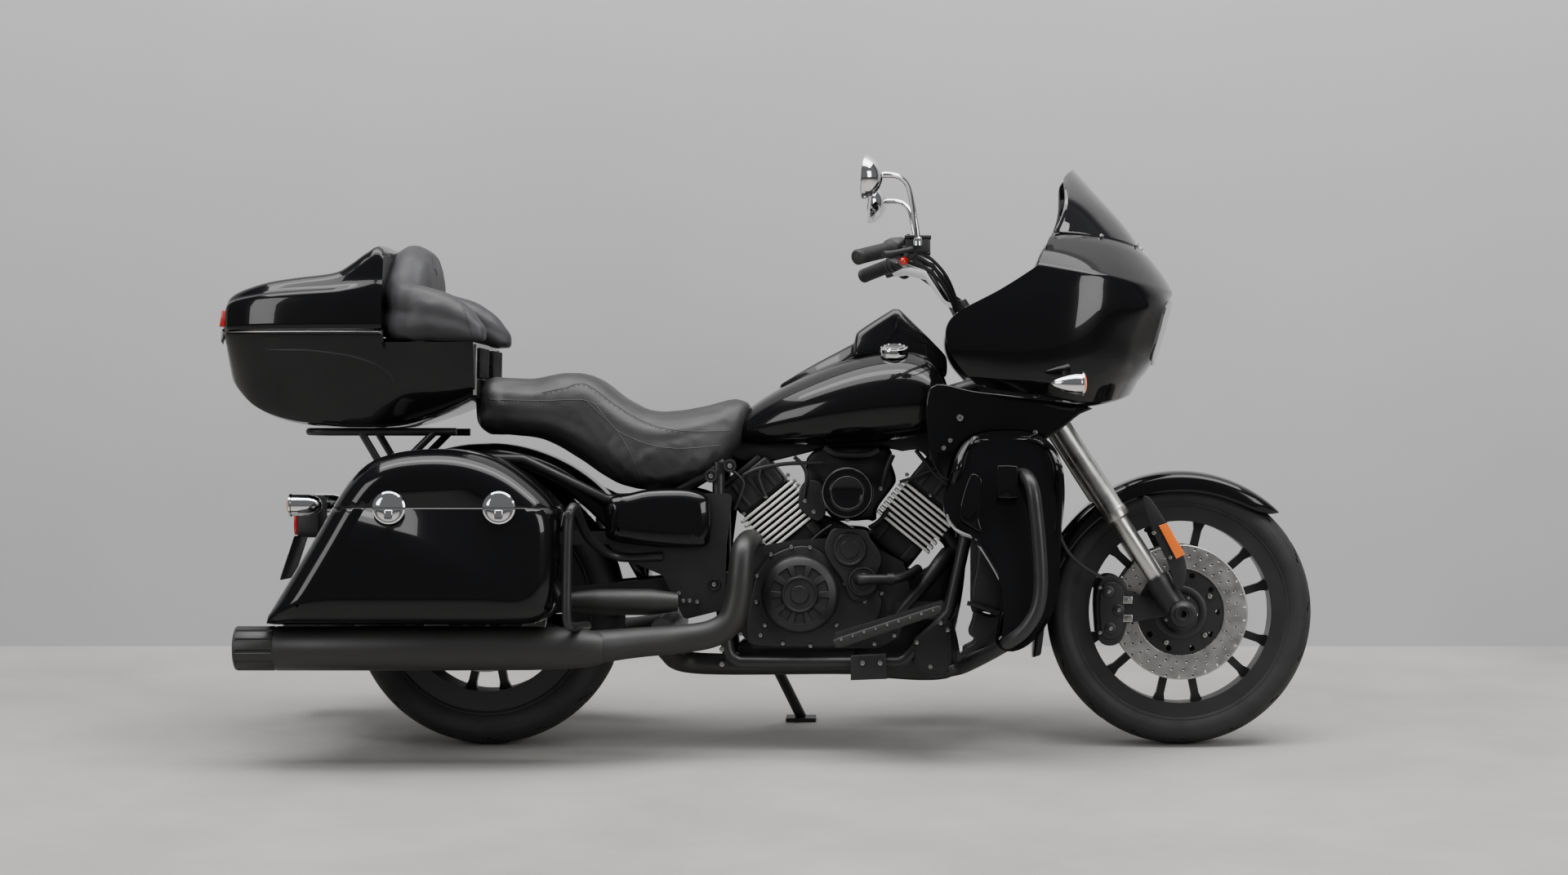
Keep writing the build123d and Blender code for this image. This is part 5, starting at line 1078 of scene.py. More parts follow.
def makeExhaust():
    bm = bmesh.new()
    for run, radii in exhaustRuns:
        part = bmesh.new()
        sweepTube(part, run, radii, segments=28, count=64)
        joinInto(bm, part)
    finishPiece("exhaustRuns", bm, heatBlack, "frame", ["exhaust_pipes"], sharp=40)
    bm = bmesh.new()
    back = muffler["back"]
    profile = [
        (0, 92), (34, 92), (35, 90), (35, 6), (37, 2), (42, 0), (50, 3), (52, 8), (52, 92), (50.6, 94),
        (50.6, 97), (52, 99), (52, 480), (51.6, 560), (51, 690),
        (49, 760), (45, 812), (39, 846), (34, 858), (0, 858),
    ]
    for side in (-1, 1):
        part = bmesh.new()
        spinProfile(part, profile, mm(back, side * muffler["y"], muffler["z"]), (1, 0, 0), (0, 0, 1),
                    muffler["steps"])
        slots = []
        for face in part.faces:
            place = face.calc_center_median() * 1000
            y, z = place.y - side * muffler["y"], place.z - muffler["z"]
            turn = atan2(z, y) / tau * muffler["slots"]
            if 8 < place.x - back < 92 and Vector((y, z)).length > 45 and turn % 1 < 0.34:
                slots.append(face)
        sink(part, slots, 0.003, 0.0035)
        joinInto(bm, part)
    finishPiece("mufflerShells", bm, heatBlack, "frame", ["mufflers"], sharp=36)


makeExhaust()
print("exhaust made")

# Panels that stand out from the machine's side: a rounded outline that draws in towards its face


def panelRings(outline, steps, side, points):
    line0 = smoothLine([mm(x, 0, z) for x, z in outline], points, closed=True)
    rings = []
    for depth, inwards in steps:
        line = line0
        rounds = max(int(inwards / 2), 1)
        for _ in range(rounds):
            line = insetLine(line, inwards / rounds * 0.001)
            if inwards > 6:
                line = [(line[n - 1] + line[n] * 4 + line[(n + 1) % len(line)]) / 6 for n in range(len(line))]
        rings.append([Vector((p.x, side * depth * 0.001, p.z)) for p in line])
    return rings


def makePanel(bm, outline, steps, side, points):
    part = bmesh.new()
    capEnds(part, growRings(part, panelRings(outline, steps, side, points)))
    joinInto(bm, part)


coverOutline = [
    (300, 500), (340, 487), (420, 478), (500, 476), (536, 484), (544, 510), (547, 560), (538, 596),
    (510, 612), (470, 618), (400, 616), (350, 606), (306, 596), (296, 570), (294, 530),
]
coverSteps = [(160, 0), (178, 0), (186, 2), (193, 6), (199, 13), (203, 22), (205, 34)]
podPixels = [
    (1191.5, 548.4), (1180, 578), (1169, 610.1), (1169, 632.6), (1183, 643.8), (1202.7, 652.2),
    (1216.7, 671.9), (1233.5, 699.9), (1243.4, 725.2), (1244.8, 747.6), (1236.3, 772.9), (1222.3, 786.9),
    (1242, 785.5), (1267.2, 761.7), (1279.8, 733.6), (1284, 697), (1285.5, 652), (1290.2, 610), (1286.9, 568),
    (1272.8, 545.6), (1230.7, 541.4),
]
podDoor = [(1216, 118), (1232, 108), (1296, 110), (1306, 124), (1306, 236), (1296, 250), (1234, 250),
           (1216, 234)]
podRear = [(1100, 150), (1142, 160), (1150, 200), (1136, 330), (1146, 396), (1084, 366), (1056, 336),
           (1060, 262)]
podOutline = [pixelSpot(px, py, -345) for px, py in podPixels][::-1]
podSteps = [(250, 3), (262, 0), (306, 0), (326, 2), (342, 6), (354, 12), (361, 19), (365, 27)]


def makePanels():
    bm = bmesh.new()
    for side in (-1, 1):
        makePanel(bm, coverOutline, coverSteps, side, 80)
    finishPiece("sideCoverShells", bm, paintBlack, "frame", ["side_covers"], sharp=50)
    bm = bmesh.new()
    for side in (-1, 1):
        makePanel(bm, podOutline, podSteps, side, 120)
    # the top leans in to a lit shoulder and the front edge turns away
    for vert in bm.verts:
        side = 1 if vert.co.y > 0 else -1
        rise = max(vert.co.z - 0.664, 0) / 0.056
        ahead = max(vert.co.x - 1.305, 0) / 0.05
        behind = max(1.166 - vert.co.x, 0) / 0.03 * min(max(vert.co.z - 0.5, 0) / 0.1, 1)
        lean = min(0.056 * rise ** 1.35 + 0.016 * ahead ** 2 + 0.022 * behind ** 1.5, 0.09)
        vert.co.y -= side * lean * max(abs(vert.co.y) - 0.25, 0) / 0.115
    for side in (-1, 1):
        for crops, face in ((podDoor, 366.5), (podRear, 360.5)):
            sidePlate(bm, [zoomSpot(crop, -366) for crop in crops], side, 340, face, 3, 72)
    finishPiece("lowerFairingShells", bm, paintBlack, "frame", ["lower_fairings"], sharp=50)


makePanels()
print("panels made")

# Fenders: a rounded section carried round the wheel, its sides drawn up to a point at the ends
# angle, crown radius, half width, skirt radius
frontFenderRows = [
    (45, 340, 40, 336), (48, 341, 60, 328), (53, 341, 74, 316), (60, 341, 81, 304), (70, 341, 84, 296),
    (85, 341, 84, 291), (100, 341, 84, 289), (118, 341, 84, 290), (135, 341, 84, 294), (150, 341, 84, 300),
    (165, 342, 84, 308), (180, 349, 82, 320), (190, 360, 78, 334), (197, 374, 72, 350),
]
rearFenderRows = [
    (8, 392, 84, 384), (12, 398, 96, 372), (20, 400, 104, 356), (34, 400, 106, 345), (50, 400, 106, 340),
    (70, 400, 106, 338), (90, 400, 106, 338), (110, 400, 106, 338), (130, 402, 106, 340),
    (145, 410, 106, 346), (158, 432, 104, 366), (165, 446, 100, 384), (170, 458, 92, 402),
]
fenderSection = [(1.0, 0.0), (1.0, 0.30), (0.985, 0.55), (0.94, 0.74), (0.84, 0.88), (0.66, 0.96),
                 (0.40, 0.99), (0.0, 1.0)]


def makeFender(which, rows, body):
    bm = bmesh.new()
    centre = axles[which]
    angles = smoothLine([Vector(row[:3]) for row in rows], 48)
    skirts = smoothLine([Vector((row[0], row[3], 0)) for row in rows], 48)
    rings = []
    for (angle, crown, half), skirt in zip(angles, skirts):
        low = skirt.y
        turn = radians(angle)
        ring = []
        for out, up in fenderSection:
            reach = low + (crown - low) * up
            ring.append(mm(centre[0] + reach * cos(turn), -half * out, centre[2] + reach * sin(turn)))
        rings.append(bothSides(ring))
    growRings(bm, rings, closed=False)
    node = which + "_fender"
    piece = finishPiece(which + "FenderShell", bm, paintBlack, body, [node], smooth=1, wall=0.004,
                        sharp=60)
    outwards(piece)


makeFender("front", frontFenderRows, "steering")
makeFender("rear", rearFenderRows, "frame")
print("fenders made")

# Engine dress: bright edges on the fins, heads, side covers with bolts, hoses and what fills the vee
engine = {
    "crankX": 867.0, "crankZ": 349.0, "tilt": 39.0, "fins": 8, "start": 208.0, "pitch": 13.5, "half": 80.0,
    "deep": 96.0, "clutch": (755, 366), "recesses": 10,
}


def tiltFrame(sign):
    turn = Matrix.Rotation(radians(sign * engine["tilt"]), 4, "Y")
    return Matrix.Translation(mm(engine["crankX"], 0, engine["crankZ"])) @ turn


def cutAtMiddle(part, sign):
    # the two cylinders meet at the middle of the vee, so what crosses it is cut off
    cutBehind(part, mm(engine["crankX"] + sign * 1.5, 0, 0), (sign, 0, 0))


def makeFinEdges():
    bm = bmesh.new()
    for sign in (-1, 1):
        place = tiltFrame(sign)
        for number in range(engine["fins"]):
            z = engine["start"] + engine["pitch"] * number
            half, deep = engine["half"] + 0.8, engine["deep"] + 0.8
            outline = [
                (-half, -deep + 3), (-half + 3, -deep), (half - 3, -deep), (half, -deep + 3),
                (half, deep - 3), (half - 3, deep), (-half + 3, deep), (-half, deep - 3),
            ]
            rings = []
            for back, up in ((3.0, -0.9), (0.6, -0.9), (0.0, 0.0), (0.0, 5.0), (0.6, 5.9), (3.0, 5.9)):
                rings.append([
                    place @ mm(x * (1 - back / abs(x)), y * (1 - back / abs(y)), z + up) for x, y in outline
                ])
            part = bmesh.new()
            growRings(part, rings)
            cutAtMiddle(part, sign)
            joinInto(bm, part)
    finishPiece("finEdges", bm, finAlloy, "frame", sharp=40)


makeFinEdges()


def tiltBox(bm, sign, across, deep, up, soft, segments):
    # a soft-edged block in one cylinder's own frame
    part = bmesh.new()
    middle = [(low + high) / 2 for low, high in (across, deep, up)]
    size = [(high - low) * 0.001 for low, high in (across, deep, up)]
    place = tiltFrame(sign) @ Matrix.Translation(mm(*middle)) @ Matrix.Diagonal((*size, 1))
    softBox(part, place, soft * 0.001, segments)
    joinInto(bm, part)


def makeHeads():
    bm = bmesh.new()
    for sign in (-1, 1):
        tiltBox(bm, sign, (-70, 66), (-92.5, 92.5), (317, 394), 9, 4)
        tiltBox(bm, sign, (-58, 54), (-80, 80), (392, 408), 6, 4)
        tiltBox(bm, sign, (-64, 64), (-86, 86), (150, 209), 6, 3)
        for side in (-1, 1):
            for x in (-40, 0, 40):
                tiltBox(bm, sign, (x - 5, x + 5), sorted((side * 90, side * 97)), (322, 388), 2.5, 2)
            for x in (-46, 46):
                tiltBox(bm, sign, (x - 12, x + 12), sorted((side * 84, side * 92)), (156, 204), 3, 2)
    finishPiece("headCovers", bm, castBlack, "frame", sharp=34)


makeHeads()

# places read off an enlarged piece of the photo
caseCover = [
    (130, 880), (122, 800), (150, 640), (190, 540), (250, 490), (330, 462), (400, 462), (470, 500),
    (540, 560), (600, 600), (690, 640),
    (712, 700), (700, 760), (640, 840), (520, 895), (300, 900), (170, 895),
]
camCover = [
    (470, 430), (500, 385), (560, 380), (640, 390), (665, 430), (700, 480), (712, 530), (690, 590),
    (690, 650), (640, 700), (580, 690), (540, 610), (490, 540), (462, 480),
]
airBox = [
    (395, 62), (470, 30), (730, 30), (750, 92), (772, 160), (764, 196), (692, 296), (684, 350), (650, 346),
    (590, 350), (500, 340), (430, 250), (388, 190), (380, 110),
]
underTank = [
    (60, 70), (180, 96), (330, 66), (480, 34), (730, 34), (800, 46), (870, 40), (935, 96), (1040, 175),
    (1062, 60), (1100, 20), (1095, -60), (700, -66), (60, -30),
]
radiatorSide = [(1142, 436), (1188, 440), (1252, 560), (1262, 600), (1218, 748), (1108, 706), (1124, 560)]
lowerDuct = [
    (1122, 748), (1180, 768), (1240, 762), (1290, 742), (1272, 838), (1192, 892), (1078, 926), (1070, 908),
    (1112, 884), (1114, 862), (1092, 842), (1108, 790),
]
lowerCase = [
    (690, 520), (780, 520), (850, 575), (930, 545), (985, 480), (1020, 470), (1030, 560), (1000, 700),
    (985, 760), (1028, 800), (1030, 1025), (700, 1035), (560, 1000), (560, 880), (660, 800),
]
boxCover = [
    (848, 900), (850, 870), (870, 850), (935, 795), (965, 778), (1000, 778), (1022, 800), (1028, 850),
    (1028, 985), (1015, 1015), (960, 1022), (900, 1012), (866, 985), (850, 945),
]
boardSide = [(498, 872), (520, 858), (960, 716), (974, 724), (972, 748), (950, 762), (540, 902), (510, 902)]
innerBracket = [(352, 222), (372, 182), (410, 170), (452, 190), (470, 260), (462, 330), (430, 352),
                (390, 330), (352, 290)]
caseBolts = [
    (317, 464), (400, 465), (228, 496), (166, 590), (163, 703), (202, 805), (183, 848), (281, 884),
    (401, 895), (516, 805), (638, 702), (713, 667), (553, 623), (663, 543), (638, 517), (693, 498),
    (627, 412), (572, 408), (527, 387), (472, 460), (510, 520), (378, 262), (416, 310), (562, 346),
    (707, 208), (702, 787), (680, 886), (767, 850), (95, 843),
]


def addZoomPlate(bm, crops, near, far, soft, rounded=64):
    # near is the side that the photo shows, so its outline is placed there
    addPlate(bm, [zoomSpot(crop, near) for crop in crops], near, far, soft, rounded)


def addLeftTwin(bm, build):
    # the same shape on both sides: built once as the photo shows it, then mirrored across the middle
    part = bmesh.new()
    build(part)
    twin = part.copy()
    bmesh.ops.scale(twin, vec=(1, -1, 1), verts=twin.verts)
    bmesh.ops.reverse_faces(twin, faces=twin.faces)
    joinInto(bm, part)
    joinInto(bm, twin)


def buildCaseSide(bm):
    addZoomPlate(bm, caseCover, -141, -122, 4)
    addZoomPlate(bm, camCover, -151, -120, 4)
    x, z = engine["clutch"]
    part = bmesh.new()
    profile = [
        (0, 186), (20, 186), (21.5, 184.5), (22, 182), (36, 182), (38, 184.5), (41, 184.5), (43, 182),
        (44, 179), (70, 177), (72, 176),
        (84, 172), (89, 168), (92, 160), (93, 150), (93, 136),
    ]
    spinProfile(part, profile, mm(x, 0, z), rightWay, (1, 0, 0), 120)
    windows = []
    for face in part.faces:
        place = face.calc_center_median() - mm(x, 0, z)
        out = Vector((place.x, 0, place.z)).length * 1000
        turn = (atan2(place.z, place.x) / tau * engine["recesses"]) % 1
        if 45 < out < 70 and 0.16 < turn < 0.84:
            windows.append(face)
    sink(part, windows, 0.0025, 0.004)
    joinInto(bm, part)
    for spot, radius, face in ((zoomSpot((572, 475), -158), 41, 158), (zoomSpot((630, 615), -160), 37, 160)):
        spinProfile(
            bm,
            [(0, 4), (radius * 0.5, 4), (radius * 0.56, 2), (radius * 0.78, 2), (radius * 0.84, 4),
             (radius * 0.92, 3.4), (radius, -1), (radius, -24)],
            mm(spot[0], -face, spot[1]), rightWay, (1, 0, 0), 64,
        )


def makeEngineCovers():
    bm = bmesh.new()
    addLeftTwin(bm, buildCaseSide)
    addZoomPlate(bm, airBox, -74, 74, 12)
    addZoomPlate(bm, lowerCase, -70, 70, 8)
    addZoomPlate(bm, innerBracket, -104, -84, 4, 48)
    addZoomPlate(bm, underTank, -50, 50, 6, 80)
    addZoomPlate(bm, [(118, 870), (560, 880), (575, 960), (560, 990), (140, 990), (112, 960)], -90, 90, 5, 40)
    addZoomPlate(bm, [(400, 330), (470, 330), (600, 390), (690, 420), (760, 520), (640, 560), (440, 500),
                      (380, 440)], -66, 66, 6, 48)
    addZoomPlate(bm, boxCover, -150, -100, 4)
    addZoomPlate(bm, [(x * 0.9 + 94, y * 0.9 + 90) for x, y in boxCover], -154, -148, 3)
    addZoomPlate(bm, [(576, 938), (730, 930), (736, 1040), (576, 1046)], -176, -140, 2.5, 0)
    addZoomPlate(bm, radiatorSide, -238, -60, 5, 56)
    addZoomPlate(bm, lowerDuct, -240, -90, 4, 56)
    sweepTube(bm, zoomRun((1085, 708, -244), (1150, 726, -246), (1222, 752, -244)), 5.5, 14, 20)
    # water hose with its clamp, then the fat hoses that run down to the pump
    pump = zoomSpot((615, 605), -160)
    hose = [(pump[0], -158, pump[1]), (pump[0] + 2, -180, pump[1] + 1), (pump[0] + 22, -190, pump[1] + 1)]
    hose += zoomRun((700, 604, -190), (770, 603, -186), (830, 585, -160), (870, 560, -120))
    sweepTube(bm, hose, [15, 13, 11.5, 11.5, 11.5, 12, 12], 24, 48)
    clamp = zoomPlace((752, 604), -187)
    spinProfile(bm, [(11, -8), (14.5, -8), (14.5, 8), (11, 8)], mm(*clamp), (1, 0, 0), (0, 0, 1), 32)
    hose = zoomRun((1000, 500, -70), (965, 540, -110), (900, 625, -130), (820, 715, -130), (770, 780, -120))
    sweepTube(bm, hose, [22, 20, 16, 14, 13], 24, 40)
    hose = zoomRun((1050, 480, -60), (1035, 560, -84), (1000, 700, -96), (960, 800, -96))
    sweepTube(bm, hose, [12, 12, 11, 10], 20, 30)
    for run, radius in (
        ([(495, 368), (450, 398), (400, 440), (360, 462)], 4),
        ([(110, 150), (180, 120), (300, 100), (460, 96)], 5),
        ([(185, 120), (176, 160), (190, 205), (205, 240)], 4.5),
        ([(330, 70), (370, 110), (385, 160), (372, 250)], 5),
        ([(860, 40), (900, 90), (950, 150), (1010, 200)], 5),
        ([(1075, 65), (960, 115), (880, 150), (790, 180)], 4),
        ([(760, 60), (735, 120), (712, 205)], 7), ([(420, 440), (470, 490), (520, 560)], 5),
        ([(460, 30), (520, 60), (640, 62), (700, 40)], 9),
        ([(60, 130), (110, 190), (70, 300)], 4), ([(655, 380), (700, 350), (740, 300)], 5),
        ([(1010, 200), (1035, 260), (1040, 420)], 5),
    ):
        sweepTube(bm, [zoomPlace(crop, -104) for crop in run], radius, 14, 30)
    finishPiece("engineDress", bm, castBlack, "frame", ["engine_covers"], sharp=34)


makeEngineCovers()


def makeAirCleaner():
    gloss, rings = bmesh.new(), bmesh.new()
    centre = mm(868, -205, 608)
    spinProfile(
        gloss,
        [(0, 0), (32, 0), (35, 2), (39, 2.5), (42, 1), (46, 0), (52, 1), (56, 1), (60, -2), (62.5, -8),
         (62.5, -30), (60, -32), (60, -100), (0, -100)],
        centre, rightWay, (1, 0, 0), 96,
    )
    # painted highlights: two thin bright steel rings laid on the cover's stepped edges, standing in for the
    # gloss highlights there
    for radius, front in ((38.4, 3.0), (57.8, 1.2)):
        spinProfile(rings, [(radius - 0.9, front - 1.2), (radius - 0.4, front), (radius + 0.4, front),
                            (radius + 0.9, front - 1.2)], centre, rightWay, (1, 0, 0), 96)
    finishPiece("airCleanerCover", gloss, paintBlack, "frame", sharp=34)
    finishPiece("airCleanerRings", rings, brushedSteel, "frame", sharp=60)


makeAirCleaner()
boltList = [(*zoomPlace(crop, -142), 5.4, rightWay) for crop in caseBolts]
boltList += [(*zoomPlace(crop, -154), 6.0, rightWay) for crop in ((865, 880), (970, 795), (1000, 825),
                                                                  (925, 985))]
boltList += [(*zoomPlace(crop, -177), 6.6, rightWay) for crop in ((628, 970), (705, 970), (15, 910),
                                                                  (15, 975))]
boltList += [(*zoomPlace(crop, -98), 5.0, rightWay) for crop in ((303, 150), (205, 243), (822, 148),
                                                                 (925, 238), (110, 318))]
boltList += [(x, 142, z, 5.0, leftWay) for x,
             z in ((660, 300), (650, 380), (700, 450), (800, 476), (900, 490), (975, 400), (960, 300))]
addBolts("engineBolts", boltList, "frame")


def makeBoards():
    # Floorboard mats over the boards, with studs along the outer edge
    rubber, studs = bmesh.new(), []
    for side in (-1, 1):
        sidePlate(rubber, [zoomSpot(crop, -316) for crop in boardSide], side, 213, 317, 5)
        for k in range(9):
            share = k / 8
            x, z = zoomSpot((535 + 400 * share, 868 - 128 * share), -318)
            studs.append((x, side * 317, z, 3.4, (0, side, 0)))
        for k in range(7):
            share = (k + 0.5) / 7
            x, z = zoomSpot((540 + 400 * share, 852 - 130 * share), -316)
            turn = Matrix.Translation(mm(x, side * 265, z + 1)) @ Matrix.Rotation(radians(-17), 4, "Y")
            softBox(rubber, turn @ Matrix.Diagonal((0.012, 0.082, 0.008, 1)), 0.002, 2)
    finishPiece("boardMats", rubber, hoseRubber, "frame", sharp=34)
    addBolts("boardStuds", studs, "frame")


makeBoards()


def makeGuards():
    bm = bmesh.new()
    frontRun = zoomRun(
        (1310, 150, -300), (1345, 158, -360), (1372, 220, -386), (1388, 340, -388), (1402, 500, -388),
        (1406, 640, -388), (1388, 740, -388), (1338, 822, -386), (1272, 876, -366), (1180, 930, -280),
        (1070, 985, -160), (1010, 1000, -140),
    )
    rearRun = [
        (430, -162, 456), (320, -162, 456), (262, -230, 500), (242, -330, 566), (236, -384, 574),
        (229, -392, 540), (226, -392, 430), (226, -392, 318), (236, -372, 300), (258, -250, 296),
    ]
    for side in (-1, 1):
        for run, radius in ((frontRun, 16.5), (rearRun, 11)):
            sweepTube(bm, [(x, -side * y, z) for x, y, z in run], radius, 28, 90)
        spinProfile(bm, [(0, 3), (7, 3), (9, 1), (9, -10)], mm(229, side * 402, 560), (0, side, 0), (1, 0, 0),
                    24)
    finishPiece("guardTubes", bm, satinBlack, "frame", ["engine_guards"], sharp=50)


makeGuards()
print("engine dressed")

# Steering frame: forward of the steering axis, out along Y, up the axis, in millimetres
steer = {"rake": 32.7, "offset": 46.0, "leg": 40.0, "spread": 115.0}


def steerSpot(forward, y, up):
    turn = radians(steer["rake"])
    axle = axles["front"]
    x = axle[0] - steer["offset"] * cos(turn) + forward * cos(turn) - up * sin(turn)
    z = axle[2] - steer["offset"] * sin(turn) + forward * sin(turn) + up * cos(turn)
    return (x, y, z)


steerUp = (-sin(radians(steer["rake"])), 0, cos(radians(steer["rake"])))


def makeForkDress():
    steel, black = bmesh.new(), bmesh.new()
    for side in (-1, 1):
        y = side * steer["spread"]
        foot = mm(*steerSpot(steer["leg"], y, 0))
        # polished slider, then the brushed upper tube with a stepped collar
        spinProfile(
            steel, [(20.9, 98), (21.4, 99), (21.4, 268), (27.9, 272), (31, 274), (31.5, 280), (31.5, 292),
                    (30, 298), (29, 300), (28.9, 420), (28.2, 424), (28.2, 584)],
            foot, steerUp, (0, 1, 0), 48,
        )
        # cast foot round the axle and its clamp
        spinProfile(
            black, [(0, -40), (20, -40), (28, -34), (31, -22), (31.5, 20), (30.8, 60), (32, 84), (33, 96),
                    (32, 104), (24, 106), (0, 106)],
            foot, steerUp, (0, 1, 0), 48,
        )
        spinProfile(
            black, [(8.2, 6), (12, 7), (14, 10), (19, 10), (22, 6), (30, 2), (33, -6), (33, -30), (0, -30)],
            mm(axles["front"][0], side * 152, axles["front"][2]), (0, side, 0), (1, 0, 0), 40,
        )
    finishPiece("forkSleeves", steel, brushedSteel, "steering", ["fork_tubes"], sharp=34)
    finishPiece("forkFeet", black, castBlack, "steering", sharp=34)


makeForkDress()

# The calipers stand behind the fork; their outline is drawn round their middle
caliperMiddle = (1503, 326)
caliperArm = [(1500, 300), (1530, 294), (1600, 306), (1640, 316), (1642, 350), (1600, 352), (1530, 372),
              (1500, 366)]
caliperOutline = [(-34, -74), (-40, -30), (-42, 20), (-36, 62), (-16, 82), (14, 78), (30, 56), (34, 10),
                  (30, -40), (16, -76), (-10, -86)]


def makeCalipers():
    bm, blocks, bolts = bmesh.new(), bmesh.new(), []
    midX, midZ = caliperMiddle
    for side in (-1, 1):
        for near, far, size in ((44, 58, 1.0), (74, 92, 1.0), (88, 100, 0.82)):
            outline = [(midX + x * size, midZ + z * size) for x, z in caliperOutline]
            sidePlate(bm, outline, side, near, far, 4, 48)
        for dx, dz in ((-12, 44), (-8, -44), (12, 0)):
            piston = [(0, 3), (11, 3), (14, 1), (16, -4), (16, -12)]
            spinProfile(bm, piston, mm(midX + dx, side * 101, midZ + dz), (0, side, 0), (1, 0, 0), 32)
            bolts.append((midX + dx, side * 104, midZ + dz, 5.5, (0, side, 0)))
        sidePlate(bm, caliperArm, side, 82, 96, 3, 40)
        for x, z in ((1536, 350), (1536, 306)):
            corners = [(x - 12, z - 9), (x + 12, z - 9), (x + 12, z + 9), (x - 12, z + 9)]
            sidePlate(blocks, corners, side, 92, 102, 2)
            bolts.append((x, side * 104, z, 4.5, (0, side, 0)))
        bolts += [(1470, side * 100, z, 5, (0, side, 0)) for z in (380, 272)]
    finishPiece("caliperBodies", bm, castBlack, "steering", ["front_calipers"], sharp=34)
    finishPiece("caliperBlocks", blocks, boltSteel, "steering", sharp=34)
    addBolts("caliperBolts", bolts, "steering")


makeCalipers()


reflectorCorners = [(1418.6, 644), (1429, 640.6), (1451, 679), (1440, 684.7)]
armCorners = [(1399, 613), (1408, 610), (1434, 650), (1452, 690), (1450, 716), (1440, 722), (1430, 690),
              (1412, 652)]


def makeReflectors():
    lens, arm, bolts = bmesh.new(), bmesh.new(), []
    for side in (-1, 1):
        sidePlate(lens, [pixelSpot(px, py, -150) for px, py in reflectorCorners], side, 150, 158, 2)
        sidePlate(arm, [pixelSpot(px, py, -145) for px, py in armCorners], side, 143, 150, 2, 40)
        for px, py in ((1413, 653), (1433, 683)):
            x, z = pixelSpot(px, py, -150)
            bolts.append((x, side * 151, z, 5, (0, side, 0)))
    finishPiece("sideReflectors", lens, amberLens, "steering", sharp=34)
    finishPiece("reflectorArms", arm, castBlack, "steering", sharp=34)
    addBolts("reflectorBolts", bolts, "steering")


makeReflectors()


# out from the axle, and how far it stands out from the hub's face
hubProfile = [
    (13.6, 4), (24, 4), (28, 1), (30, -3), (44, -4), (48, -1.5), (60, -1.5), (64, -4), (64, -9), (13.6, -9),
]


def makeWheelDress():
    # Black carriers inside the discs, with bolts on them
    for which, face in (("front", 70), ("rear", 104)):
        bm, bolts = bmesh.new(), []
        x, _, z = axles[which]
        profile = [(r, face + h) for r, h in hubProfile]
        for side in (-1, 1):
            spinProfile(bm, profile, mm(x, 0, z), (0, side, 0), (1, 0, 0), 72)
            for k in range(5):
                for out, later, sunk, radius in ((80, 0, 6, 7), (38, 0.6, 3, 5)):
                    turn = tau * k / 5 + 0.5 + later
                    y = side * (face - sunk)
                    bolts.append((x + out * cos(turn), y, z + out * sin(turn), radius, (0, side, 0)))
        finishPiece(which + "HubDress", bm, castBlack, which + "_wheel", sharp=34)
        addBolts(which + "HubBolts", bolts, which + "_wheel")


makeWheelDress()
print("front end dressed")

# Handlebar controls, mirrors and cables
mirrorSide = {"y": 424.0, "x": 919.0, "z": 1336.0, "radius": 52.0}


def makeMirrors():
    chrome, glass = bmesh.new(), bmesh.new()
    for side in (-1, 1):
        head = mm(mirrorSide["x"] + 6, side * mirrorSide["y"], mirrorSide["z"])
        way = Vector((1, side * 0.10, -0.08)).normalized()
        spinProfile(
            chrome, [(0, 31), (12, 30), (24, 26.5), (34, 21), (43, 12.5), (49, 3), (51.6, -5), (52, -9),
                     (50.5, -11), (48.5, -9.5)],
            head, way, (0, 0, 1), 56,
        )
        spinProfile(glass, [(0, -8.4), (30, -8.6), (49, -9.4)], head, way, (0, 0, 1), 56)
        stem = [
            (1035, side * 372, 1188), (1030, side * 378, 1230), (1022, side * 386, 1276),
            (1012, side * 398, 1318), (992, side * 412, 1338),
            (962, side * 422, 1342), (944, side * 424, 1339),
        ]
        sweepTube(chrome, stem, [7.5, 6.5, 6.5, 6.5, 8], 20, 48)
        spinProfile(chrome, [(0, 6), (8, 5), (11, 0), (11, -14), (0, -14)], mm(1035, side * 372, 1196),
                    (0, 0, 1), (1, 0, 0), 28)
    finishPiece("mirrorShells", chrome, brightChrome, "steering", ["mirrors"], sharp=40)
    finishPiece("mirrorGlass", glass, brightChrome, "steering", sharp=40)


makeMirrors()


# ribs of a grip, the lever's run from the grip's inner end, the middle of the fluid pot
controls = {
    "ribs": 14, "lever": [(26, -10, 2), (52, 24, 0), (40, 70, -6), (6, 118, -16), (-14, 140, -20)],
    "pot": (1035, 330, 1187),
}


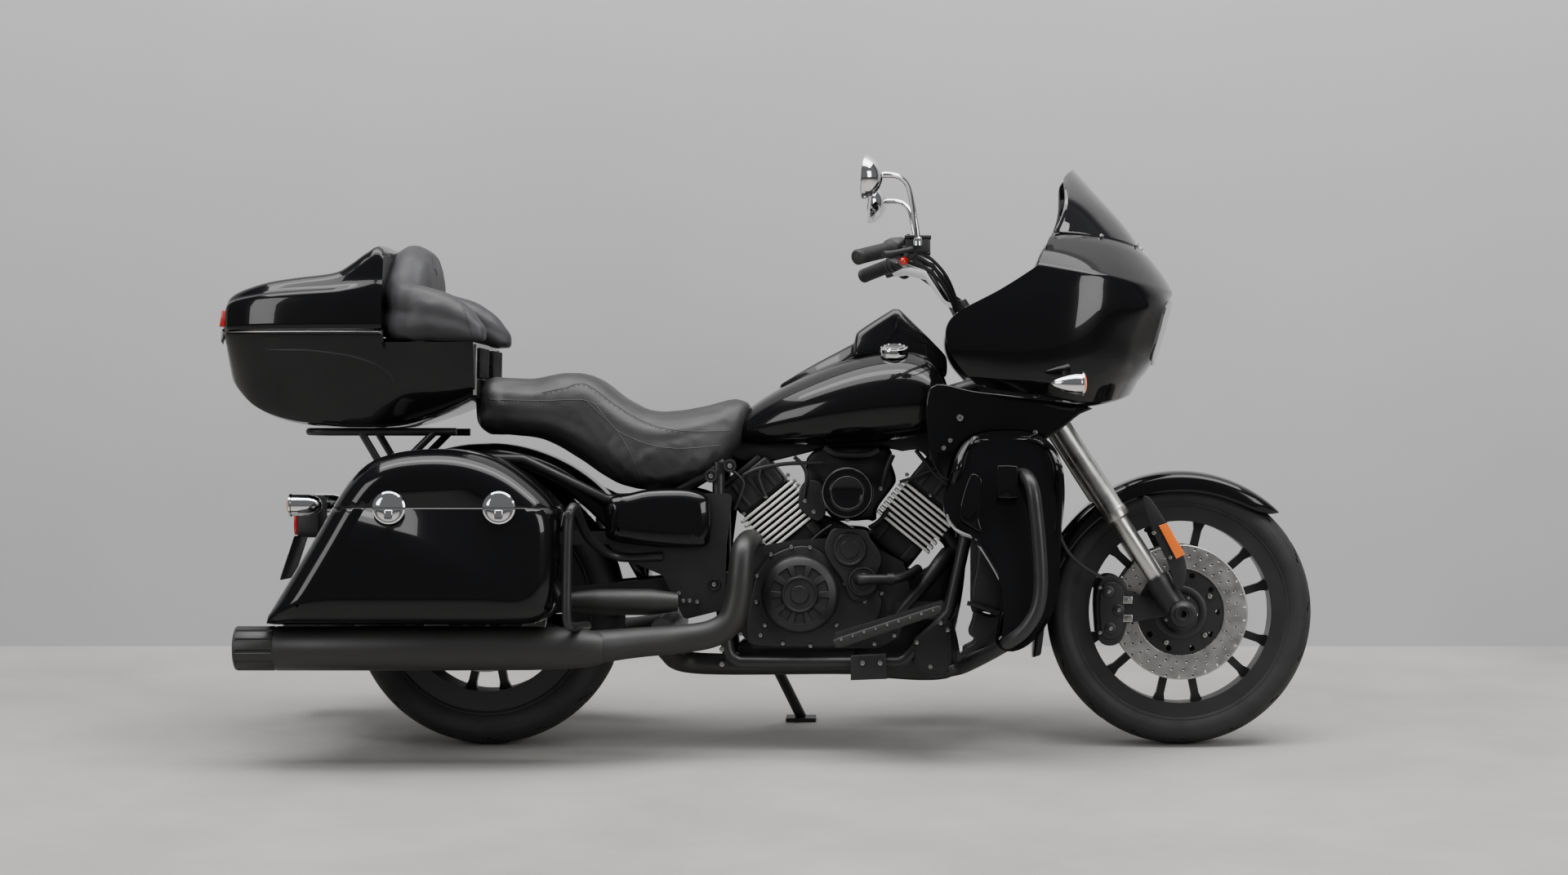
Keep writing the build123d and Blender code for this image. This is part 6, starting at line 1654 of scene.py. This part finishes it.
def makeControls():
    rubber, black, red = bmesh.new(), bmesh.new(), bmesh.new()
    for side in (-1, 1):
        start = Vector((970, side * 331, 1176))
        end = Vector((893, side * 430, 1151))
        way = (end - start).normalized()
        ribs = [(0, 0), (17.6, 0), (23, 1), (24, 4), (23, 7)]
        length = (end - start).length
        rib = (length - 24) / controls["ribs"]
        for k in range(controls["ribs"]):
            at = 12 + rib * k
            ribs += [(18.2, at), (18.2, at + rib * 0.62), (16.8, at + rib * 0.7), (16.8, at + rib * 0.95)]
        ribs += [(18.6, length - 10), (18.6, length - 2), (15, length + 1), (0, length + 1)]
        spinProfile(rubber, ribs, mm(*start), tuple(way), (0, 0, 1), 40)
        spinProfile(
            black, [(0, -44), (19, -44), (23, -40), (24, -22), (22, -20), (22, -18), (25, -16), (25, -4),
                    (22, 0), (0, 0)],
            mm(*start), tuple(way), (0, 0, 1), 40,
        )
        lever = [start + Vector((x, side * y, z)) for x, y, z in controls["lever"]]
        sweepTube(black, [tuple(place) for place in lever], [8, 7, 6, 5.5, 7.5], 16, 44)
        pivot = mm(*(start + Vector((26, -side * 10, 0))))
        spinProfile(black, [(0, 9), (13, 8), (15, 4), (15, -6), (0, -6)], pivot, (0, 0, 1), (1, 0, 0), 24)
        x, y, z = controls["pot"]
        y *= side
        for low, high, halfX, halfY, soft in ((-19, 12, 29, 34, 4), (12, 20, 31, 36, 3)):
            part = bmesh.new()
            corners = [(x - halfX, y - halfY), (x + halfX, y - halfY), (x + halfX, y + halfY),
                       (x - halfX, y + halfY)]
            thicken(part, [mm(cx, cy, z + low) for cx, cy in corners], mm(0, 0, high - low))
            soften(part, part.edges[:], soft * 0.001)
            joinInto(black, part)
        for sx, sy in ((-1, -1), (1, 1)):
            addBolt(black, (x + sx * 22, y + sy * 27, z + 20), (0, 0, 1), 4)
        sweepTube(black, [(1030, side * 330, 1172), (1012, side * 330, 1160), (1000, side * 322, 1150),
                          (990, side * 316, 1158)], 12, 16, 20)
    spinProfile(red, [(0, 9), (6, 8), (9, 5), (10, 0), (10, -8), (0, -8)], mm(1000, -352, 1146),
                (-0.4, -0.8, -0.2), (0, 0, 1), 24)
    finishPiece("gripSleeves", rubber, hoseRubber, "steering", ["hand_controls"], sharp=34)
    finishPiece("controlPods", black, mouldedBlack, "steering", sharp=34)
    finishPiece("killSwitch", red, redLens, "steering", sharp=34)


makeControls()


def makeCables():
    bm = bmesh.new()
    for side in (-1, 1):
        for shift, high in ((0, 0), (10, 14), (-12, -16)):
            sweepTube(
                bm,
                [(1012, side * (320 + shift), 1164 + high * 0.3), (1052, side * (300 + shift), 1150 + high),
                 (1095, side * (250 + shift), 1112 + high),
                 (1120, side * (170 + shift), 1066 + high), (1134, side * (96 + shift), 1020 + high * 0.6),
                 (1140, side * 60, 985)],
                4.2, 12, 50,
            )
    finishPiece("controlCables", bm, hoseRubber, "steering", sharp=60)


makeCables()
print("handlebar dressed")


# Front and rear turn signals, tail lamp, plate
def makeSignals():
    chrome, amber = bmesh.new(), bmesh.new()
    for side in (-1, 1):
        centre = mm(1416, side * 402, 862)
        bullet = [(0, 76), (4, 74), (11, 64), (17, 50), (22, 34), (25, 18), (26, 4), (27.5, 2), (27.5, -2),
                  (25, -3)]
        spinProfile(chrome, bullet, centre, (-1, 0, 0), (0, 0, 1), 44)
        spinProfile(amber, [(0, -9), (10, -8.5), (18, -6.5), (24, -3)], centre, (-1, 0, 0), (0, 0, 1), 44)
        sweepTube(chrome, [(1396, side * 380, 862), (1396, side * 352, 864), (1394, side * 318, 870)],
                  [9, 8, 10], 18, 16)
        rear = mm(-412, side * 168, 578)
        spinProfile(chrome, [(0, 34), (8, 33), (16, 28), (22, 18), (25.5, 4), (26, -20), (26, -36),
                             (27.5, -38), (27.5, -42), (25, -43)], rear, (1, 0, 0), (0, 0, 1), 44)
        spinProfile(amber, [(0, -50), (10, -49), (18, -47), (24, -43)], rear, (1, 0, 0), (0, 0, 1), 44)
        sweepTube(chrome, [(-430, side * 150, 578), (-430, side * 110, 578), (-430, side * 60, 578)],
                  [8, 8, 9], 18, 12)
    finishPiece("signalShells", chrome, brightChrome, "frame", ["front_turn_signals"], sharp=34)
    finishPiece("signalLenses", amber, amberLens, "frame", sharp=60)


makeSignals()
lampOutline = [(-58, 506), (-58, 560), (-44, 590), (0, 600), (44, 590), (58, 560), (58, 506), (30, 498),
               (-30, 498)]


def makeTail():
    black, red, plate = bmesh.new(), bmesh.new(), bmesh.new()
    for x0, x1, grow, where in ((-456, -404, 1.0, black), (-466, -456, 0.9, red)):
        line = smoothLine([mm(0, y * grow, 548 + (z - 548) * grow) for y, z in lampOutline], 48, closed=True)
        part = bmesh.new()
        thicken(part, [place + mm(x1, 0, 0) for place in line], mm(x0 - x1, 0, 0))
        softenRims(part, 0, 0.003)
        joinInto(where, part)
    slope = radians(18)
    for back, thick, half, top, low, where in ((0, 3, 92, -2, 108, black), (3.2, 1.6, 88, 2, 102, plate)):
        part = bmesh.new()
        corners = [(-half, top), (half, top), (half, low), (-half, low)]
        line = [mm(-456 - back - down * sin(slope), y, 500 - down * cos(slope)) for y, down in corners]
        thicken(part, line, mm(-thick * cos(slope), 0, thick * sin(slope)))
        soften(part, part.edges[:], 0.0006, 2)
        joinInto(where, part)
    finishPiece("tailHousing", black, mouldedBlack, "frame", ["tail_lamp"], sharp=34)
    finishPiece("tailLens", red, redLens, "frame", sharp=34)
    finishPiece("blankPlate", plate, groundSteel, "frame", sharp=34)


makeTail()
print("lamps made")

# Brake hoses: the part's route in the steering frame, as cords
hoses = {"thick": 0.009}
hoseRoute = [
    (18, -145, 593), (0, -150, 546), (-14, -153, 500), (-25, -154, 454), (-46, -153, 410), (-76, -150, 368),
    (-99, -145, 322), (-106, -135, 274), (-97, -117, 230), (-78, -97, 191), (-58, -80, 153),
]


def makeHoses():
    for side, name in ((-1, "Right"), (1, "Left")):
        points = [bikeFrame @ mm(*steerSpot(forward, -side * y, up)) for forward, y, up in hoseRoute]
        curve = bpy.data.curves.new("brakeHose" + name, "CURVE")
        curve.dimensions = "3D"
        spline = curve.splines.new("NURBS")
        spline.points.add(len(points) - 1)
        for point, place in zip(spline.points, points):
            point.co = (*place, 1)
        spline.order_u = 3
        spline.use_endpoint_u = True
        spline.resolution_u = 12
        curve.bevel_depth = hoses["thick"] / 2
        curve.bevel_resolution = 6
        curve.use_fill_caps = True
        curve.materials.append(hoseRubber)
        hose = bpy.data.objects.new("brakeHose" + name, curve)
        bpy.context.collection.objects.link(hose)
        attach(hose, "steering")
        if side < 0:
            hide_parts("brake_hoses")


makeHoses()

# Seams: beads and stitches laid on whatever surface the pads ended up with
seatSeams = [
    [(150, 190), (300, 196), (480, 200), (700, 200), (780, 270), (850, 345), (1000, 410), (1160, 430),
     (1380, 410)],
    [(480, 160), (590, 138), (690, 120), (850, 230), (1000, 310), (1160, 345), (1380, 345)],
    [(700, 205), (780, 280), (850, 350), (910, 450), (970, 585)],
]
padSeams = [[(1010, 80), (1030, 160), (1050, 230), (1110, 256), (1180, 270), (1230, 370), (1270, 500)]]
seamWork = {"bead": 1.5, "sunk": 0.5, "stitchEvery": 7.0, "stitchLong": 4.2, "stitchThick": 0.55,
            "beside": 4.5, "leap": 25.0}


def castOn(piece, line, side):
    # What rays from beyond the machine's side meet on a piece: the place and the normal there
    shown = piece.evaluated_get(bpy.context.evaluated_depsgraph_get())
    way = (bikeFrame.to_3x3() @ Vector((0, -side, 0))).normalized()
    return [shown.ray_cast(bikeFrame @ (place + mm(0, side * 700, 0)), way)[:3] for place in line]


def laySeam(target, crops, piece, side, beads, stitches):
    spots = [zoomSpot(crop, -150, piece) for crop in crops]
    line = smoothLine([mm(x, 0, z) for x, z in spots], 70)
    runs = [[]]
    for hit, where, normal in castOn(target, line, side):
        if hit and runs[-1] and (where - runs[-1][-1][0]).length > seamWork["leap"] * 0.001:
            runs.append([])
        if hit:
            runs[-1].append((where, normal))
    for found in runs:
        if len(found) > 7:
            layRun(found, beads, stitches)


def layRun(found, beads, stitches):
    # one unbroken stretch of a seam: the bead, then stitches beside it
    back = bikeFrame.inverted()
    path = [back @ (where - normal * (seamWork["sunk"] * 0.001)) for where, normal in found]
    sweepTube(beads, [tuple(place * 1000) for place in path[::3]], seamWork["bead"], 8, 120)
    reach, wanted = 0.0, 0.0
    for number in range(1, len(path) - 1):
        step = (path[number] - path[number - 1]).length * 1000
        reach += step
        if reach < wanted or step > 30:
            continue
        wanted = reach + seamWork["stitchEvery"]
        along = (path[number + 1] - path[number - 1]).normalized()
        normal = (back.to_3x3() @ found[number][1]).normalized()
        beside = along.cross(normal).normalized()
        middle = back @ found[number][0] + beside * (seamWork["beside"] * 0.001) + normal * 0.0002
        half = along * (seamWork["stitchLong"] * 0.0005)
        ends = [tuple((middle - half) * 1000), tuple((middle + normal * 0.0003) * 1000),
                tuple((middle + half) * 1000)]
        sweepTube(stitches, ends, seamWork["stitchThick"], 6, 5)


def makeSeams():
    for target, seams, piece, body, name in (
        (seatCushion, seatSeams, "seat", "frame", "seat"),
        (backrestCushion, padSeams, "topCase", "top_case_lid", "backrest"),
    ):
        beads, stitches = bmesh.new(), bmesh.new()
        for crops in seams:
            for side in (-1, 1):
                laySeam(target, crops, piece, side, beads, stitches)
        finishPiece(name + "Beads", beads, seatLeather, body, sharp=60)
        finishPiece(name + "Stitches", stitches, hoseRubber, body, sharp=60)


makeSeams()
print("seams laid")

# Small things on the fairing, screen, top case and side plates
neckPixels = [
    (1140, 474), (1200, 480), (1330, 497), (1320, 509), (1270, 543), (1206, 543), (1186, 560), (1166, 588),
    (1148, 580), (1136, 540),
]


ridgeCrops = [(232, 543), (330, 543), (440, 546), (560, 560), (660, 578), (760, 612), (820, 650), (852, 690)]


def clingTo(name, line, side):
    # the points of a line brought onto a piece's skin, in millimetres
    back = bikeFrame.inverted()
    found = castOn(bpy.data.objects[name], line, side)
    return [tuple(back @ where * 1000) for hit, where, _ in found if hit]


def makeTrim():
    black, chrome, red, mesh, cover = [bmesh.new() for _ in range(5)]
    bolts = []
    # recessed bolts and the raised rim of the frame plates
    for side in (-1, 1):
        for px, py in ((870.5, 583.2), (893.7, 570.8), (874.6, 715.9)):
            x, z = pixelSpot(px, py, -162)
            boss = [(0, 0), (8, 0), (9.5, 1.5), (12, 4), (14.5, 4), (16, 1), (16, -4)]
            spinProfile(black, boss, mm(x, side * 158, z), (0, side, 0), (1, 0, 0), 32)
            bolts.append((x, side * 159, z, 6.5, (0, side, 0)))
        for crop in ((1155, 1005), (1185, 1062), (1232, 1060), (1290, 1068), (1143, 1143)):
            x, z = zoomSpot(crop, -162, "plates")
            bolts.append((x, side * 160, z, 5.5, (0, side, 0)))
    # screen bolts
    for x, y, z in ((1470, -190, 1213), (1559, -92, 1196), (1574, 0, 1193), (1559, 92, 1196),
                    (1470, 190, 1213)):
        bolts.append((x, y, z + 3, 5.0, (0.6, 0.5 * (y > 0) - 0.5 * (y < 0), 0.8)))
    # the rear reflectors of the case and the ridge on its side
    for low, high in ((-196, -122), (122, 196)):
        addPlate(red, [(-617, 1000), (-596, 1000), (-590, 1040), (-611, 1040)], low, high, 3)
    for side in (-1, 1):
        spots = [zoomSpot(crop, -246, "topCase") for crop in ridgeCrops]
        line = smoothLine([mm(x, 0, z) for x, z in spots], 40)
        sweepTube(black, clingTo("topCaseShell", line, side), [0.6, 2.6, 2.6, 2.6, 0.6], 10, 60)
        # bright bead along the case's seam
        line = [mm(x, 0, 986.5) for x in range(-590, -232, 9)]
        sweepTube(chrome, clingTo("topCaseShell", line, side), [0.5, 1.7, 1.7, 1.7, 1.7, 1.7, 0.5], 10, 80)
        # speaker cloth on the case's front and its bright edge
        sidePlate(mesh, [(-10, 880), (2, 880), (3, 950), (-10, 950)], side, 40, 216, 2)
        sidePlate(chrome, [(-12, 838), (-5, 838), (-3, 958), (-12, 958)], side, 218, 230, 1.5)
        sidePlate(cover, [pixelSpot(px, py, -240) for px, py in neckPixels], side, 172, 240, 5, 64)
        for px, py, radius in ((1175.6, 512, 9), (1163.7, 539.7, 6), (1155.7, 549, 6), (1267.7, 530, 6.5)):
            x, z = pixelSpot(px, py, -242)
            bolts.append((x, side * 241, z, radius, (0, side, 0)))
    finishPiece("plateBosses", black, castBlack, "frame", sharp=34)
    finishPiece("neckCovers", cover, paintBlack, "frame", sharp=34)
    finishPiece("speakerCloth", mesh, speakerBlack, "frame", sharp=34)
    finishPiece("caseEdges", chrome, brushedSteel, "frame", sharp=34)
    addBolts("trimBolts", bolts, "frame")
    finishPiece("caseReflectors", red, redLens, "top_case_lid", sharp=34)


makeTrim()
print("trim made")

# Studio: pale floor and wall, soft lights, camera square to the leaned machine's right side
studio = {
    "cameraSpot": (1.0464, -8.383, 0.7055), "lens": 79.54, "sensor": 36.0, "shiftX": -0.0885, "pitch": 0.23,
    "wallBehind": 1.27, "floorHalf": 30.0, "wallHigh": 14.0,
}


def stageMaterial(name, low, high, scale, oneSided):
    made = bpy.data.materials.new(name)
    made.use_nodes = True
    tree = made.node_tree
    shader = tree.nodes["Principled BSDF"]
    shader.inputs["Roughness"].default_value = 0.75
    place = addNode(tree, "ShaderNodeTexCoord")
    cloud = addNode(tree, "ShaderNodeTexNoise", Scale=scale, Detail=8.0, Roughness=0.6)
    ramp = addNode(tree, "ShaderNodeValToRGB")
    ramp.color_ramp.elements[0].position = 0.35
    ramp.color_ramp.elements[1].position = 0.65
    ramp.color_ramp.elements[0].color = (*low, 1)
    ramp.color_ramp.elements[1].color = (*high, 1)
    tree.links.new(place.outputs["Object"], cloud.inputs["Vector"])
    tree.links.new(cloud.outputs[0], ramp.inputs["Fac"])
    tree.links.new(ramp.outputs["Color"], shader.inputs["Base Color"])
    if oneSided:
        side = addNode(tree, "ShaderNodeNewGeometry")
        clear = addNode(tree, "ShaderNodeBsdfTransparent")
        mix = addNode(tree, "ShaderNodeMixShader")
        tree.links.new(side.outputs["Backfacing"], mix.inputs["Fac"])
        tree.links.new(shader.outputs["BSDF"], mix.inputs[1])
        tree.links.new(clear.outputs["BSDF"], mix.inputs[2])
        tree.links.new(mix.outputs["Shader"], tree.nodes["Material Output"].inputs["Surface"])
    return made


def stageSheet(name, corners, material):
    bm = bmesh.new()
    bm.faces.new([bm.verts.new(corner) for corner in corners])
    mesh = bpy.data.meshes.new(name)
    bm.to_mesh(mesh)
    bm.free()
    mesh.materials.append(material)
    sheet = bpy.data.objects.new(name, mesh)
    bpy.context.collection.objects.link(sheet)


half, high, back = studio["floorHalf"], studio["wallHigh"], studio["wallBehind"]
stageSheet(
    "floor", [(-half, -half, 0), (half, -half, 0), (half, half, 0), (-half, half, 0)],
    stageMaterial("paleConcrete", (0.30, 0.29, 0.275), (0.38, 0.37, 0.355), 1.3, False),
)
stageSheet(
    "wall", [(-half, back, 0), (half, back, 0), (half, back, high), (-half, back, high)],
    stageMaterial("paleWall", (0.40, 0.40, 0.405), (0.43, 0.43, 0.435), 0.7, True),
)

camera = bpy.data.objects.new("camera", bpy.data.cameras.new("camera"))
bpy.context.collection.objects.link(camera)
camera.data.lens = studio["lens"]
camera.data.sensor_width = studio["sensor"]
camera.data.shift_x = studio["shiftX"]
camera.matrix_world = (
    bikeFrame @ Matrix.Translation(studio["cameraSpot"]) @ Matrix.Rotation(radians(90 + studio["pitch"]), 4,
        "X")
)
bpy.context.scene.camera = camera

world = bpy.data.worlds.new("studioAir")
world.use_nodes = True
sky = world.node_tree.nodes["Background"]
sky.inputs["Color"].default_value = (0.95, 0.97, 1.0, 1)
sky.inputs["Strength"].default_value = 0.16
bpy.context.scene.world = world

# name, place, aimed at, width, depth, watts
softLights = [
    ("lightAbove", (0.2, -0.6, 4.6), (0.2, -0.1, 0.0), 7.0, 3.2, 420.0),
    ("lightWall", (0.2, -1.0, 5.5), (0.2, 1.3, 1.6), 8.0, 1.0, 160.0),
    ("lightFront", (4.5, -4.0, 2.6), (0.6, 0.0, 0.7), 2.0, 2.6, 130.0),
    ("lightBack", (-4.5, -4.5, 3.0), (-0.5, 0.0, 0.7), 2.2, 2.6, 110.0),
]
for name, spot, aim, width, depth, watts in softLights:
    lamp = bpy.data.lights.new(name, "AREA")
    lamp.shape = "RECTANGLE"
    lamp.size = width
    lamp.size_y = depth
    lamp.energy = watts
    holder = bpy.data.objects.new(name, lamp)
    holder.location = spot
    holder.rotation_mode = "QUATERNION"
    holder.rotation_quaternion = (Vector(aim) - Vector(spot)).to_track_quat("-Z", "Y")
    bpy.context.collection.objects.link(holder)
print("studio ready")
